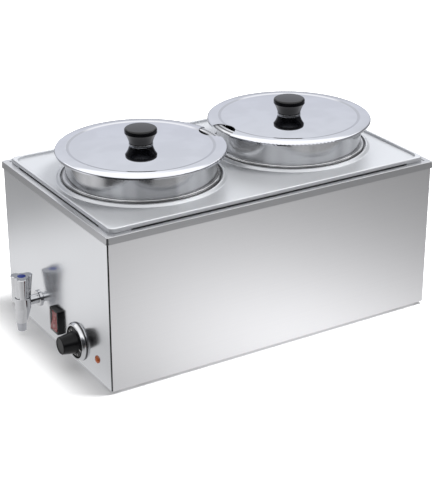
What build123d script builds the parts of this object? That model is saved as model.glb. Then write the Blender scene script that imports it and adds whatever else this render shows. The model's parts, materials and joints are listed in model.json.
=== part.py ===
"""Two-pot soup warmer: lidded pots hung in a lift-out plate over a heated water tank in a steel casing.

Millimetres, +Z up. The origin is on the floor, under the middle of the whole warmer with its tap and
its cord gland. The long front faces -Y and the control end faces -X.
"""
import os
from math import atan2, cos, degrees, radians, sin, tan

from build123d import *

os.makedirs("parts", exist_ok=True)

# Pots
pot_radius = 117.5  # outside of the body, below the plate
pot_sheet = 1.0
pot_bottom_radius = 22.0
pot_clearance = 30.0  # water under the pot's bottom
neck_inset = 2.5  # the neck is this much slimmer than the body
neck_height = 46.7  # from the shoulder's seat to the crest of the rim
neck_fillet = 3.0
shoulder_step = 4.0  # the shoulder bead stands out this far from the body
shoulder_height = 3.5
shoulder_round = 1.2
rim_width = 11.5  # rim, outwards from the neck
rim_fall_angle = 8.0  # the rim falls away outwards
rim_lip = 2.2
rim_round = 1.6

# Lids
lid_sheet = 1.0
lid_overhang = 3.5  # past the pot's rim
lid_lip = 3.6
lid_round = 2.2
lid_flange_angle = 6.0  # the rim falls away outwards
lid_edge_angle = 9.5  # and more so near its edge
lid_edge_width = 8.0
lid_edge_bend = 100.0
lid_plug_clearance = 1.0  # between the step and the inside of the neck
lid_step_width = 5.0  # the middle disc is sunk into the neck
lid_step_round = 3.0
lid_disc_drop = 0.5  # edge of the disc, under the level of the rim
lid_dome = 3.5  # rise of the disc to its middle
lid_dome_lead = 6.0
notch_radius = 27.0  # ladle notch
notch_depth = 24.5
lid_gap = 8.0  # between the two lids

# Lid knobs
knob_ring_height = 1.6  # bright ring between the lid and the knob
knob_ring_overhang = 0.4
knob_height = 24.4
knob_neck_radius = 18.2
knob_neck_height = 1.4
knob_flare_radius = 20.7  # half way up the flare
knob_flare_height = 9.0
knob_cap_radius = 24.8
knob_cap_bottom = 16.5
knob_cap_top = 20.7
knob_edge_round = 3.4
knob_crown = 0.5
knob_seat_play = 2.4  # flat seat on the lid, past the neck
knob_screw_radius = 2.5
knob_screw_depth = 14.0
knob_screw_head_radius = 4.8
knob_screw_head_height = 3.2
knob_washer_radius = 8.0
knob_washer_sheet = 1.2

# Lift-out plate
plate_sheet = 1.0
plate_play = 1.0  # to the tank rim, all round
plate_rise = 7.3  # crest of the plate's lip above the tank rim
plate_lip_width = 5.3
plate_lip_round = 1.8
plate_lip_relief = 1.6  # the lip's sides clear the tank rim, and it rests on its corners
plate_corner_rest = 34.0
plate_recess = 4.1
plate_corner_radius = 10.0
plate_recess_corner_radius = 18.0
plate_round = 1.2
collar_height = 4.1
collar_slope = 4.0
collar_crest = 3.0
collar_round = 2.0
collar_foot = 3.0
seat_depth = 3.5  # pot seat below the collar's crest
seat_hole_play = 1.0  # pot body to the seat's hole
seat_wall_play = 1.2  # shoulder bead to the collar's inner wall

# Water tank
tank_sheet = 1.0
tank_end_clearance = 10.5  # pot body to the tank's ends
tank_side_clearance = 35.5
tank_corner_radius = 40.0
tank_floor_radius = 12.0
ledge_width = 15.3  # flat ledge that carries the plate
ledge_drop = 1.0
border_width = 9.1
skirt_height = 10.4
skirt_flare = 1.1  # the skirt's lower edge stands out past its upper edge
rim_overhang = 1.4  # top of the skirt past the casing's faces
rim_corner_radius = 3.2
rim_edge_round = 0.8

# Casing
casing_height = 242.0  # from its bottom to the top of the tank rim
casing_sheet = 1.0
compartment_height = 85.0  # from the casing's bottom to the tank floor
bottom_flange = 30.0
panel_flange = 15.0
panel_bend_radius = 2.0
corner_seam = 1.5  # open joint beside each end panel
base_sheet = 1.0
base_play = 0.4
vent_count = 7
vent_length = 60.0
vent_width = 5.0
vent_pitch = 16.0
vent_spread = 260.0  # between the two groups of vents

# Feet and screws of the base
foot_height = 5.0
foot_radius = 14.0
foot_taper = 12.0
foot_end_inset = 54.0
foot_side_inset = 23.0
foot_web = 1.8
foot_screw_radius = 2.5
foot_screw_head_radius = 4.5
foot_screw_head_height = 2.2
foot_nut_radius = 4.6
foot_nut_height = 4.0
base_screw_radius = 1.9
base_screw_head_radius = 3.6
base_screw_head_height = 2.0
base_screw_length = 7.0
base_screw_inset = 12.0
base_screw_columns = 3
screw_play = 0.15

# Heating element
element_radius = 4.0
element_height = 20.0  # centre of the tube above the tank floor
element_bend = 30.0
element_leg_bend = 11.0
element_end_inset = 37.0  # from the tank's ends
element_return = 75.0  # the middle loop stops this much further in
element_rows = 70.0  # between its runs
element_leg_drop = 24.0  # bare ends below the tank floor
bushing_wall = 3.0
bushing_flange_radius = 11.0
bushing_flange_height = 2.0
bushing_drop = 12.0
element_nut_radius = 11.0
element_nut_height = 5.0
element_washer_sheet = 1.5
support_sheet = 1.5
support_foot = 10.0
support_spread = 240.0
support_overhang = 12.0

# Drain and tap
pipe_radius = 7.5
pipe_bore_radius = 5.0
drain_inset = 40.0  # drain from the tank's control end
drain_flange_radius = 15.0
drain_flange_height = 2.0
drain_tail = 14.0  # below the tank floor
drain_nut_radius = 15.0
drain_nut_height = 5.5
hose_wall = 2.5
hose_bend = 20.0
hose_overlap = 7.5
tap_y = 65.5
tap_drop = 35.0  # tap's inlet below the tank floor
tap_out = 27.0  # panel to the tap's upright axis
tap_tail = 24.0  # inlet pipe behind the panel
tap_flange_radius = 13.0
tap_flange_height = 3.3
tap_nut_radius = 14.0
tap_nut_height = 6.0
tap_washer_sheet = 1.5
barrel_radius = 12.5
barrel_shoulder = 0.9  # barrel above the inlet pipe
barrel_drop = 8.5
barrel_chamber_radius = 8.0
spout_lean = 4.0
spout_radius = 8.7
spout_bore_radius = 4.5
spout_tip_height = 14.0
spout_tip_radius = 6.8
spout_tip_shoulder = 0.8
spout_outlet_radius = 5.0
spout_clearance = 8.5  # under the spout's tip
bonnet_radius = 9.0
bonnet_height = 9.0
handle_gap = 0.5
handle_height = 35.2
handle_lobes = 3
handle_turn = 10.0  # angle of the first lobe
lobe_offset = 10.5
lobe_radius = 8.0
handle_core_radius = 12.0
lobe_foot_offset = 8.0
lobe_foot_radius = 6.0
handle_core_foot_radius = 10.9
flute_radius = 3.0
handle_edge = 0.8
handle_skirt_play = 0.6
spindle_radius = 4.0
button_radius = 6.5
button_recess = 2.5
button_crown = 1.4
handle_screw_radius = 2.0
handle_screw_head_radius = 3.6
handle_screw_head_height = 2.6
handle_web = 4.0
handle_screw_length = 12.0

# Rocker switch
switch_y = -1.5
switch_z = 41.0
switch_width = 27.6
switch_height = 40.0
switch_out = 7.0
switch_corner_radius = 2.5
switch_taper = 3.0
switch_body_width = 24.0
switch_body_height = 36.0
switch_body_depth = 26.0
rocker_width = 20.0
rocker_length = 31.0
rocker_tip = 3.8
rocker_middle = 2.6
rocker_back = 5.0
rocker_tilt = 8.0
rocker_play = 0.5
pivot_radius = 1.5
pivot_reach = 1.2
pivot_below_front = 4.6
pocket_depth = 11.0
cover_sheet = 1.0
cover_out = 3.0
cover_inset = 2.0
cover_round = 2.2
blade_width = 6.3
blade_sheet = 0.8
blade_length = 8.0
blade_rows = 16.0
blade_columns = 10.0

# Thermostat
dial_y = -69.0
dial_z = 34.5
bezel_radius = 30.0
bezel_inner_radius = 24.0
bezel_out = 6.5
bezel_sheet = 1.2
dial_skirt_play = 0.8
dial_skirt_out = 3.4
dial_skirt_height = 2.0
dial_grip_radius = 16.0
dial_end_radius = 13.5
dial_out = 30.0
dial_end_rim = 1.6
dial_end_recess = 0.7
shaft_radius = 3.0
shaft_out = 22.0
shaft_in = 16.0
thermostat_radius = 17.0
thermostat_depth = 24.0
thermostat_bush_radius = 5.0
bracket_sheet = 2.0
bracket_height = 20.0
thermostat_screw_spread = 28.0
thermostat_screw_radius = 2.0
thermostat_screw_head_radius = 3.4
thermostat_screw_head_height = 1.6
bulb_radius = 3.0
bulb_length = 80.0
bulb_inset = 65.0  # from the tank's control end
bulb_clip_width = 12.0
bulb_clip_sheet = 0.8
bulb_clip_ear = 7.0
capillary_radius = 1.0
capillary_bend = 10.0
capillary_rise = 8.0
capillary_lead = 28.0

# Pilot lamp
pilot_y = -132.0
pilot_z = 33.0
pilot_radius = 6.0
pilot_out = 3.6
pilot_rim = 1.0
pilot_body_radius = 4.6
pilot_body_depth = 28.0
pilot_nut_radius = 8.0
pilot_nut_height = 3.0

# Mains entry
gland_end_inset = 65.0  # from the control end
gland_z = 30.0
gland_flange_radius = 11.0
gland_flange_height = 5.0
gland_dome_radius = 9.0
gland_mouth_radius = 6.2
gland_out = 15.0
gland_bore_radius = 4.2
gland_tail_radius = 7.5
gland_tail = 12.0
gland_nut_radius = 11.0
gland_nut_height = 5.0
block_width = 20.0
block_length = 48.0
block_height = 14.0
block_end_inset = 80.0
block_back_inset = 75.6  # middle of the block to the casing's back
block_ways = 4
block_bore_radius = 2.6
block_screw_radius = 2.2
block_screw_height = 1.2
block_screw_row = 5.5
wire_radius = 1.2
wire_bend = 6.0
wire_seat = 4.0  # wire inside the terminal block
wire_lane = 46.0  # from the panel to the wires' run across the compartment
pilot_lane = 39.0

# General clearances
thread_play = 0.05  # threaded, pressed or sliding round pieces, on the radius
hole_play = 0.3  # clearance holes, on the radius

# Sizes that follow from the pots outwards
neck_radius = pot_radius - neck_inset
shoulder_radius = pot_radius + shoulder_step
pot_rim_radius = neck_radius + rim_width
lid_radius = pot_rim_radius + lid_overhang
pot_pitch = 2 * lid_radius + lid_gap
tank_length = pot_pitch + 2 * (pot_radius + tank_end_clearance)
tank_width = 2 * (pot_radius + tank_side_clearance)
ledge_length = tank_length + 2 * ledge_width
ledge_span = tank_width + 2 * ledge_width
rim_length = ledge_length + 2 * border_width
rim_span = ledge_span + 2 * border_width
casing_length = rim_length - 2 * rim_overhang
casing_width = rim_span - 2 * rim_overhang
rim_reach = rim_overhang + skirt_flare
skirt_angle = degrees(atan2(skirt_flare, skirt_height))
plate_length = ledge_length - 2 * plate_play
plate_width = ledge_span - 2 * plate_play

# Levels
casing_bottom = foot_height
tank_floor = casing_bottom + compartment_height
tank_under = tank_floor - tank_sheet
rim_top = casing_bottom + casing_height
wall_top = rim_top - tank_sheet
ledge_top = rim_top - ledge_drop
lip_top = rim_top + plate_rise
plate_floor = lip_top - plate_recess
collar_top = plate_floor + collar_height
seat_top = collar_top - seat_depth
pot_bottom = tank_floor + pot_clearance
pot_rim_top = seat_top + neck_height
lid_top = pot_rim_top + lid_sheet
disc_edge = lid_top - lid_disc_drop
knob_seat = disc_edge + lid_dome
knob_base = knob_seat + knob_ring_height
base_top = casing_bottom + casing_sheet + base_sheet
tap_z = tank_floor - tap_drop

# The origin is under the middle of the whole object
lobe_angles = [handle_turn + 360 / handle_lobes * step for step in range(handle_lobes)]
tap_side = max([barrel_radius] + [lobe_radius - lobe_offset * cos(radians(angle)) for angle in lobe_angles])
casing_x = (tap_out + tap_side - rim_reach) / 2
casing_y = -(gland_out - rim_reach) / 2
panel_x = casing_x - casing_length / 2
far_x = casing_x + casing_length / 2
front_y = casing_y - casing_width / 2
back_y = casing_y + casing_width / 2
panel_half = casing_width / 2 - casing_sheet
tank_start_x = casing_x - tank_length / 2
tap_x = panel_x - tap_out
pot_places = {"left": casing_x - pot_pitch / 2, "right": casing_x + pot_pitch / 2}


def level(height, x=0.0, y=0.0):
    """Horizontal plane at a height, measured in plan from the middle of the casing."""
    return Plane((casing_x + x, casing_y + y, height))


def upright(x, y):
    """Plane through a vertical axis: local x runs outwards along +X and local y is the height."""
    return Plane(origin=(x, y, 0), x_dir=(1, 0, 0), z_dir=(0, -1, 0))


def vertical(x, y):
    """Vertical axis at a place in plan."""
    return Axis((x, y, 0), (0, 0, 1))


def panel(y, z, out=0.0):
    """Plane of the control panel: local x to the viewer's right, local y up, normal outwards."""
    return Plane((panel_x - out, casing_y + y, casing_bottom + z), x_dir=(0, -1, 0), z_dir=(-1, 0, 0))


def panel_section(y, z, out=0.0):
    """Plane through an axis square to the control panel: local x outwards, local y up."""
    return Plane((panel_x - out, casing_y + y, casing_bottom + z), x_dir=(-1, 0, 0), z_dir=(0, 1, 0))


def panel_axis(y, z):
    """Axis square to the control panel, pointing outwards."""
    return Axis((panel_x, casing_y + y, casing_bottom + z), (-1, 0, 0))


def cap_radius(width, rise):
    """Radius of the sphere whose cap has this half width and rise."""
    return (width**2 + rise**2) / (2 * rise)


def write(piece, name):
    """Label a finished piece and write it."""
    piece.part.label = name
    export_step(piece.part, f"parts/{name}.step")


# Casing sides: front and back sheets, each with a folded-in bottom flange
foot_span = (casing_length - 2 * foot_end_inset, casing_width - 2 * foot_side_inset)
base_screw_pitch = (casing_length / (base_screw_columns + 1), casing_width - 2 * base_screw_inset)
gland_x = panel_x + gland_end_inset
gland_height = casing_bottom + gland_z
with BuildPart() as casing_sides:
    with BuildSketch(level(casing_bottom)):
        with GridLocations(0, casing_width - casing_sheet, 1, 2):
            Rectangle(casing_length - 2 * corner_seam, casing_sheet)
    extrude(amount=wall_top - casing_bottom)
    with BuildSketch(level(casing_bottom)):
        with GridLocations(0, casing_width - bottom_flange, 1, 2):
            Rectangle(casing_length - 2 * panel_flange, bottom_flange)
        with GridLocations(*foot_span, 2, 2):
            Circle(foot_screw_radius + screw_play, mode=Mode.SUBTRACT)
        with GridLocations(*base_screw_pitch, base_screw_columns, 2):
            Circle(base_screw_radius + screw_play, mode=Mode.SUBTRACT)
    extrude(amount=casing_sheet)
    # Hole for the cord gland in the back
    with BuildSketch(Plane((gland_x, back_y, gland_height), x_dir=(-1, 0, 0), z_dir=(0, 1, 0))):
        Circle(gland_tail_radius + hole_play)
    extrude(amount=-2 * casing_sheet, mode=Mode.SUBTRACT)
write(casing_sides, "casing_sides")

# End sheet: flanges folded in along both sides and the bottom, inside the front and back sheets
with BuildPart() as end_sheet:
    with BuildSketch(Plane((panel_x, casing_y, casing_bottom))) as folds:
        Rectangle(panel_flange, 2 * panel_half, align=(Align.MIN, Align.CENTER))
        fillet(folds.vertices().group_by(Axis.X)[0], panel_bend_radius)
        with Locations((casing_sheet, 0)):
            Rectangle(
                panel_flange,
                2 * (panel_half - casing_sheet),
                align=(Align.MIN, Align.CENTER),
                mode=Mode.SUBTRACT,
            )
    extrude(amount=wall_top - casing_bottom)
    with BuildSketch(Plane((panel_x, casing_y, casing_bottom))):
        Rectangle(
            panel_flange,
            casing_width - 2 * (bottom_flange + casing_sheet),
            align=(Align.MIN, Align.CENTER),
        )
    extrude(amount=casing_sheet)

# Plain panel at the far end
with BuildPart() as end_panel:
    mirror(end_sheet.part, about=Plane((casing_x, casing_y, 0), x_dir=(0, 1, 0), z_dir=(1, 0, 0)))
write(end_panel, "end_panel")

# Control panel: the same sheet with holes for the tap, dial, pilot lamp and switch
with BuildPart() as control_panel:
    add(end_sheet.part)
    panel_holes = (
        (tap_y, tap_z - casing_bottom, pipe_radius + hole_play),
        (dial_y, dial_z, thermostat_bush_radius + hole_play),
        (dial_y - thermostat_screw_spread / 2, dial_z, thermostat_screw_radius + screw_play),
        (dial_y + thermostat_screw_spread / 2, dial_z, thermostat_screw_radius + screw_play),
        (pilot_y, pilot_z, pilot_body_radius + hole_play),
    )
    for hole_y, hole_z, hole_radius in panel_holes:
        with BuildSketch(panel(hole_y, hole_z)):
            Circle(hole_radius)
        extrude(amount=-casing_sheet, mode=Mode.SUBTRACT)
    with BuildSketch(panel(switch_y, switch_z)):
        Rectangle(switch_body_width + hole_play, switch_body_height + hole_play)
    extrude(amount=-casing_sheet, mode=Mode.SUBTRACT)
write(control_panel, "control_panel")

# Water tank: deep tub with a ledge for the plate, a raised border and a skirt over the casing
with BuildPart() as tank_space:
    with BuildSketch(level(tank_floor)):
        RectangleRounded(tank_length, tank_width, tank_corner_radius)
    extrude(amount=rim_top - tank_floor)
    fillet(tank_space.faces().sort_by(Axis.Z)[0].edges(), tank_floor_radius)

with BuildPart() as tank_rim:
    with BuildSketch(level(rim_top)):
        RectangleRounded(rim_length, rim_span, rim_corner_radius)
    extrude(amount=-skirt_height, taper=-skirt_angle)
    fillet(tank_rim.faces().sort_by(Axis.Z)[-1].edges(), rim_edge_round)
    with BuildSketch(level(wall_top)):
        RectangleRounded(
            rim_length - 2 * tank_sheet, rim_span - 2 * tank_sheet, rim_corner_radius - tank_sheet
        )
    extrude(amount=tank_sheet - skirt_height, taper=-skirt_angle, mode=Mode.SUBTRACT)
    with BuildSketch(level(wall_top)):
        Rectangle(ledge_length, ledge_span)
    extrude(amount=tank_sheet, mode=Mode.SUBTRACT)

with BuildPart() as water_tank:
    with BuildSketch(level(tank_under)):
        RectangleRounded(
            tank_length + 2 * tank_sheet, tank_width + 2 * tank_sheet, tank_corner_radius + tank_sheet
        )
    extrude(amount=ledge_top - tank_under)
    fillet(water_tank.faces().sort_by(Axis.Z)[0].edges(), tank_floor_radius + tank_sheet)
    with BuildSketch(level(ledge_top - tank_sheet)):
        Rectangle(ledge_length + 2 * tank_sheet, ledge_span + 2 * tank_sheet)
    extrude(amount=tank_sheet)
    with BuildSketch(level(ledge_top - tank_sheet)):
        Rectangle(ledge_length + 2 * tank_sheet, ledge_span + 2 * tank_sheet)
        Rectangle(ledge_length, ledge_span, mode=Mode.SUBTRACT)
    extrude(amount=ledge_drop + tank_sheet)
    add(tank_rim.part)
    add(tank_space.part, mode=Mode.SUBTRACT)
    drain_x = tank_start_x + drain_inset
    leg_x = tank_start_x + element_end_inset
    leg_y = 1.5 * element_rows
    with BuildSketch(Plane.XY.offset(tank_under)):
        with Locations((drain_x, casing_y + tap_y)):
            Circle(pipe_radius + hole_play)
        with Locations((leg_x, casing_y - leg_y), (leg_x, casing_y + leg_y)):
            Circle(element_radius + bushing_wall + hole_play)
    extrude(amount=tank_sheet, mode=Mode.SUBTRACT)
write(water_tank, "water_tank")

# Base plate: flat sheet on the bottom flanges, with two groups of vent slots
with BuildPart() as base_plate:
    base_edge = casing_sheet + base_play
    with BuildSketch(level(casing_bottom + casing_sheet)):
        Rectangle(casing_length - 2 * base_edge, casing_width - 2 * (base_edge + casing_sheet))
        with GridLocations(vent_spread, vent_pitch, 2, vent_count):
            SlotOverall(vent_length, vent_width, mode=Mode.SUBTRACT)
        with GridLocations(*foot_span, 2, 2):
            Circle(foot_screw_radius + screw_play, mode=Mode.SUBTRACT)
        with GridLocations(*base_screw_pitch, base_screw_columns, 2):
            Circle(base_screw_radius + screw_play, mode=Mode.SUBTRACT)
    extrude(amount=base_sheet)
write(base_plate, "base_plate")

# Feet: tapered rubber discs with a sunk screw
foot_bore_top = casing_bottom - foot_web
with BuildPart() as feet:
    with BuildSketch(level(casing_bottom)):
        with GridLocations(*foot_span, 2, 2):
            Circle(foot_radius)
    extrude(amount=-foot_height, taper=foot_taper)
    with BuildSketch(level(foot_bore_top)):
        with GridLocations(*foot_span, 2, 2):
            Circle(foot_screw_head_radius + hole_play)
    extrude(amount=-foot_bore_top, mode=Mode.SUBTRACT)
    with BuildSketch(level(casing_bottom)):
        with GridLocations(*foot_span, 2, 2):
            Circle(foot_screw_radius + screw_play)
    extrude(amount=-foot_web, mode=Mode.SUBTRACT)
write(feet, "feet")

# Foot screws from below, with their nuts on the base plate
with BuildPart() as foot_screws:
    with BuildSketch(level(foot_bore_top)):
        with GridLocations(*foot_span, 2, 2):
            Circle(foot_screw_head_radius)
    extrude(amount=-foot_screw_head_height)
    with BuildSketch(level(foot_bore_top)):
        with GridLocations(*foot_span, 2, 2):
            Circle(foot_screw_radius)
    extrude(amount=base_top + foot_nut_height + 1 - foot_bore_top)
write(foot_screws, "foot_screws")

with BuildPart() as foot_nuts:
    with BuildSketch(level(base_top)):
        with GridLocations(*foot_span, 2, 2):
            RegularPolygon(foot_nut_radius, 6)
            Circle(foot_screw_radius + thread_play, mode=Mode.SUBTRACT)
    extrude(amount=foot_nut_height)
write(foot_nuts, "foot_nuts")

# Screws that hold the base plate down on the casing's bottom flanges
with BuildPart() as base_screws:
    with BuildSketch(level(casing_bottom)):
        with GridLocations(*base_screw_pitch, base_screw_columns, 2):
            Circle(base_screw_head_radius)
    extrude(amount=-base_screw_head_height)
    with BuildSketch(level(casing_bottom)):
        with GridLocations(*base_screw_pitch, base_screw_columns, 2):
            Circle(base_screw_radius)
    extrude(amount=base_screw_length)
write(base_screws, "base_screws")

# Lift-out plate: turned-down edge, recessed floor and two raised collars
collar_wall_radius = shoulder_radius + seat_wall_play
collar_crest_radius = collar_wall_radius + collar_crest
collar_outer_radius = collar_crest_radius + collar_slope
collar_foot_radius = collar_outer_radius + collar_foot
seat_hole_radius = pot_radius + seat_hole_play
recess_length = plate_length - 2 * plate_lip_width
recess_width = plate_width - 2 * plate_lip_width
with BuildPart() as adaptor_plate:
    with BuildSketch(level(ledge_top)):
        RectangleRounded(plate_length, plate_width, plate_corner_radius)
        RectangleRounded(
            plate_length - 2 * plate_sheet,
            plate_width - 2 * plate_sheet,
            plate_corner_radius - plate_sheet,
            mode=Mode.SUBTRACT,
        )
    extrude(amount=lip_top - ledge_top)
    with BuildSketch(level(ledge_top)):
        Rectangle(plate_length - 2 * plate_corner_rest, plate_width)
        Rectangle(plate_length, plate_width - 2 * plate_corner_rest)
    extrude(amount=ledge_drop + plate_lip_relief, mode=Mode.SUBTRACT)
    with BuildSketch(level(lip_top - plate_sheet)):
        RectangleRounded(plate_length, plate_width, plate_corner_radius)
        RectangleRounded(recess_length, recess_width, plate_recess_corner_radius, mode=Mode.SUBTRACT)
    extrude(amount=plate_sheet)
    with BuildSketch(level(plate_floor - plate_sheet)):
        RectangleRounded(
            recess_length + 2 * plate_sheet,
            recess_width + 2 * plate_sheet,
            plate_recess_corner_radius + plate_sheet,
        )
        RectangleRounded(recess_length, recess_width, plate_recess_corner_radius, mode=Mode.SUBTRACT)
    extrude(amount=plate_recess + plate_sheet)
    with BuildSketch(level(plate_floor - plate_sheet)):
        RectangleRounded(recess_length, recess_width, plate_recess_corner_radius)
        with GridLocations(pot_pitch, 0, 2, 1):
            Circle(collar_foot_radius, mode=Mode.SUBTRACT)
    extrude(amount=plate_sheet)
    fillet(adaptor_plate.faces().filter_by(Plane.XY).sort_by(Axis.Z)[-1].edges(), plate_lip_round)
    for pot_x in pot_places.values():
        with BuildSketch(upright(pot_x, casing_y)):
            with BuildLine():
                FilletPolyline(
                    (collar_foot_radius, plate_floor),
                    (collar_outer_radius, plate_floor),
                    (collar_crest_radius, collar_top),
                    (collar_wall_radius, collar_top),
                    (collar_wall_radius, seat_top),
                    (seat_hole_radius, seat_top),
                    radius=[collar_round, collar_round, plate_round, plate_round / 2],
                )
                offset(amount=plate_sheet, side=Side.LEFT, closed=True)
            make_face()
        revolve(axis=vertical(pot_x, casing_y))
write(adaptor_plate, "adaptor_plate")

# Pots: one pressed sheet from the bottom over the shoulder bead and the neck to the turned-down rim
rim_turn = radians(rim_fall_angle)
rim_corner = pot_rim_top - pot_sheet + rim_round * ((1 + sin(rim_turn)) / cos(rim_turn) - 1)
rim_edge = rim_corner - (rim_width - pot_sheet) * tan(rim_turn)
for side, pot_x in pot_places.items():
    with BuildPart() as pot:
        with BuildSketch(upright(pot_x, casing_y)):
            with BuildLine():
                FilletPolyline(
                    (0, pot_bottom),
                    (pot_radius, pot_bottom),
                    (pot_radius, seat_top),
                    (shoulder_radius, seat_top),
                    (shoulder_radius, seat_top + shoulder_height),
                    (neck_radius, seat_top + shoulder_height),
                    (neck_radius, rim_corner),
                    (pot_rim_radius - pot_sheet, rim_edge),
                    (pot_rim_radius - pot_sheet, rim_edge - rim_lip),
                    radius=[pot_bottom_radius, 0, 0, shoulder_round, neck_fillet, rim_round, rim_round],
                )
                offset(amount=pot_sheet, side=Side.LEFT, closed=True)
            make_face()
        revolve(axis=vertical(pot_x, casing_y))
    write(pot, f"pot_{side}")

# Lids: pressed discs with a sunk, domed middle, a curved rim with a turned-down edge, and a ladle notch
lid_fall = radians(lid_flange_angle)
bend_radius = rim_round + pot_sheet
bend_centre = neck_radius + rim_round
rim_line = pot_rim_top - bend_radius + (bend_radius + lid_sheet) / cos(lid_fall)
crest_radius = neck_radius - pot_sheet - lid_plug_clearance
crest_top = rim_line + (bend_centre - crest_radius) * tan(lid_fall)
edge_radius = lid_radius - lid_edge_width
edge_top = rim_line - (edge_radius - bend_centre) * tan(lid_fall)
flange_edge = edge_top - lid_edge_width * tan(radians(lid_edge_angle))
dome_radius = crest_radius - lid_step_width
seat_radius = knob_neck_radius + knob_seat_play
lead_radius = dome_radius - lid_dome_lead
lead_share = (lead_radius - seat_radius) / (dome_radius - seat_radius)
lead_top = knob_seat - lid_dome * lead_share**2
washer_under = knob_seat - lid_sheet - knob_washer_sheet
notch_places = {"left": 1, "right": -1}
for side, pot_x in pot_places.items():
    with BuildPart() as lid:
        with BuildSketch(upright(pot_x, casing_y)):
            with BuildLine():
                FilletPolyline(
                    (lid_radius, flange_edge - lid_lip),
                    (lid_radius, flange_edge),
                    (edge_radius, edge_top),
                    (crest_radius, crest_top),
                    (dome_radius, disc_edge),
                    (lead_radius, lead_top),
                    radius=[lid_round, lid_edge_bend, lid_step_round, lid_step_round],
                )
                RadiusArc(
                    (lead_radius, lead_top),
                    (seat_radius, knob_seat),
                    -cap_radius(lead_radius - seat_radius, knob_seat - lead_top),
                )
                Line((seat_radius, knob_seat), (knob_screw_radius + hole_play, knob_seat))
                offset(amount=lid_sheet, side=Side.LEFT, closed=True)
            make_face()
        revolve(axis=vertical(pot_x, casing_y))
        notch_offset = notch_places[side] * (lid_radius - notch_depth + notch_radius)
        with BuildSketch(Plane((pot_x + notch_offset, casing_y, flange_edge - lid_lip))):
            Circle(notch_radius)
        extrude(amount=knob_seat - flange_edge + lid_lip, mode=Mode.SUBTRACT)
    write(lid, f"lid_{side}")

    with BuildPart() as knob_ring:
        with BuildSketch(Plane((pot_x, casing_y, knob_seat))):
            Circle(knob_neck_radius + knob_ring_overhang)
            Circle(knob_screw_radius + hole_play, mode=Mode.SUBTRACT)
        extrude(amount=knob_ring_height)
        fillet(knob_ring.edges().group_by(Axis.Z)[-1].sort_by(SortBy.LENGTH)[-1], knob_ring_overhang / 2)
    write(knob_ring, f"knob_ring_{side}")

    with BuildPart() as lid_knob:
        with BuildSketch(Plane((pot_x, casing_y, knob_base), x_dir=(1, 0, 0), z_dir=(0, -1, 0))):
            with BuildLine():
                knob_top = knob_height - knob_crown
                knob_top_radius = knob_cap_radius - knob_edge_round
                Polyline((0, knob_height), (0, 0), (knob_neck_radius, 0), (knob_neck_radius, knob_neck_height))
                ThreePointArc(
                    (knob_neck_radius, knob_neck_height),
                    (knob_flare_radius, knob_flare_height),
                    (knob_cap_radius, knob_cap_bottom),
                )
                Line((knob_cap_radius, knob_cap_bottom), (knob_cap_radius, knob_cap_top))
                RadiusArc((knob_cap_radius, knob_cap_top), (knob_top_radius, knob_top), -knob_edge_round)
                RadiusArc(
                    (knob_top_radius, knob_top),
                    (0, knob_height),
                    -cap_radius(knob_top_radius, knob_crown),
                )
            make_face()
        revolve(axis=vertical(pot_x, casing_y))
        with BuildSketch(Plane((pot_x, casing_y, knob_base))):
            Circle(knob_screw_radius + thread_play)
        extrude(amount=knob_screw_depth, mode=Mode.SUBTRACT)
    write(lid_knob, f"lid_knob_{side}")

    with BuildPart() as knob_washer:
        with BuildSketch(Plane((pot_x, casing_y, washer_under))):
            Circle(knob_washer_radius)
            Circle(knob_screw_radius + screw_play, mode=Mode.SUBTRACT)
        extrude(amount=knob_washer_sheet)
    write(knob_washer, f"knob_washer_{side}")

    with BuildPart() as knob_screw:
        with BuildSketch(Plane((pot_x, casing_y, washer_under))):
            Circle(knob_screw_head_radius)
        extrude(amount=-knob_screw_head_height)
        fillet(knob_screw.edges().sort_by(Axis.Z)[0], 1.2)
        with BuildSketch(Plane((pot_x, casing_y, washer_under))):
            Circle(knob_screw_radius)
        extrude(amount=knob_seat + knob_screw_depth - washer_under)
    write(knob_screw, f"knob_screw_{side}")

# Heating element: one bent tube on the tank floor, both ends down through the floor
element_z = tank_floor + element_height
loop_start = leg_x
loop_end = tank_start_x + tank_length - element_end_inset
loop_turn = loop_start + element_return
outer_row = 1.5 * element_rows
inner_row = 0.5 * element_rows
leg_end = tank_under - element_leg_drop
with BuildPart() as heating_element:
    with BuildLine() as element_path:
        FilletPolyline(
            (loop_start, casing_y - outer_row, leg_end),
            (loop_start, casing_y - outer_row, element_z),
            (loop_end, casing_y - outer_row, element_z),
            (loop_end, casing_y - inner_row, element_z),
            (loop_turn, casing_y - inner_row, element_z),
            (loop_turn, casing_y + inner_row, element_z),
            (loop_end, casing_y + inner_row, element_z),
            (loop_end, casing_y + outer_row, element_z),
            (loop_start, casing_y + outer_row, element_z),
            (loop_start, casing_y + outer_row, leg_end),
            radius=[element_leg_bend] + 6 * [element_bend] + [element_leg_bend],
        )
    with BuildSketch(Plane((loop_start, casing_y - outer_row, leg_end))):
        Circle(element_radius)
    sweep(path=element_path.wires()[0])
write(heating_element, "heating_element")

leg_places = [(leg_x, casing_y - outer_row), (leg_x, casing_y + outer_row)]
bushing_radius = element_radius + bushing_wall
bushing_seat = tank_floor + element_washer_sheet
with BuildPart() as element_bushings:
    with BuildSketch(Plane.XY.offset(tank_under - bushing_drop)):
        with Locations(*leg_places):
            Circle(bushing_radius)
    extrude(amount=bushing_seat - tank_under + bushing_drop)
    with BuildSketch(Plane.XY.offset(bushing_seat)):
        with Locations(*leg_places):
            Circle(bushing_flange_radius)
    extrude(amount=bushing_flange_height)
    with BuildSketch(Plane.XY.offset(tank_under - bushing_drop)):
        with Locations(*leg_places):
            Circle(element_radius + thread_play)
    extrude(amount=bushing_drop + tank_sheet + element_height, mode=Mode.SUBTRACT)
write(element_bushings, "element_bushings")

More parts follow.
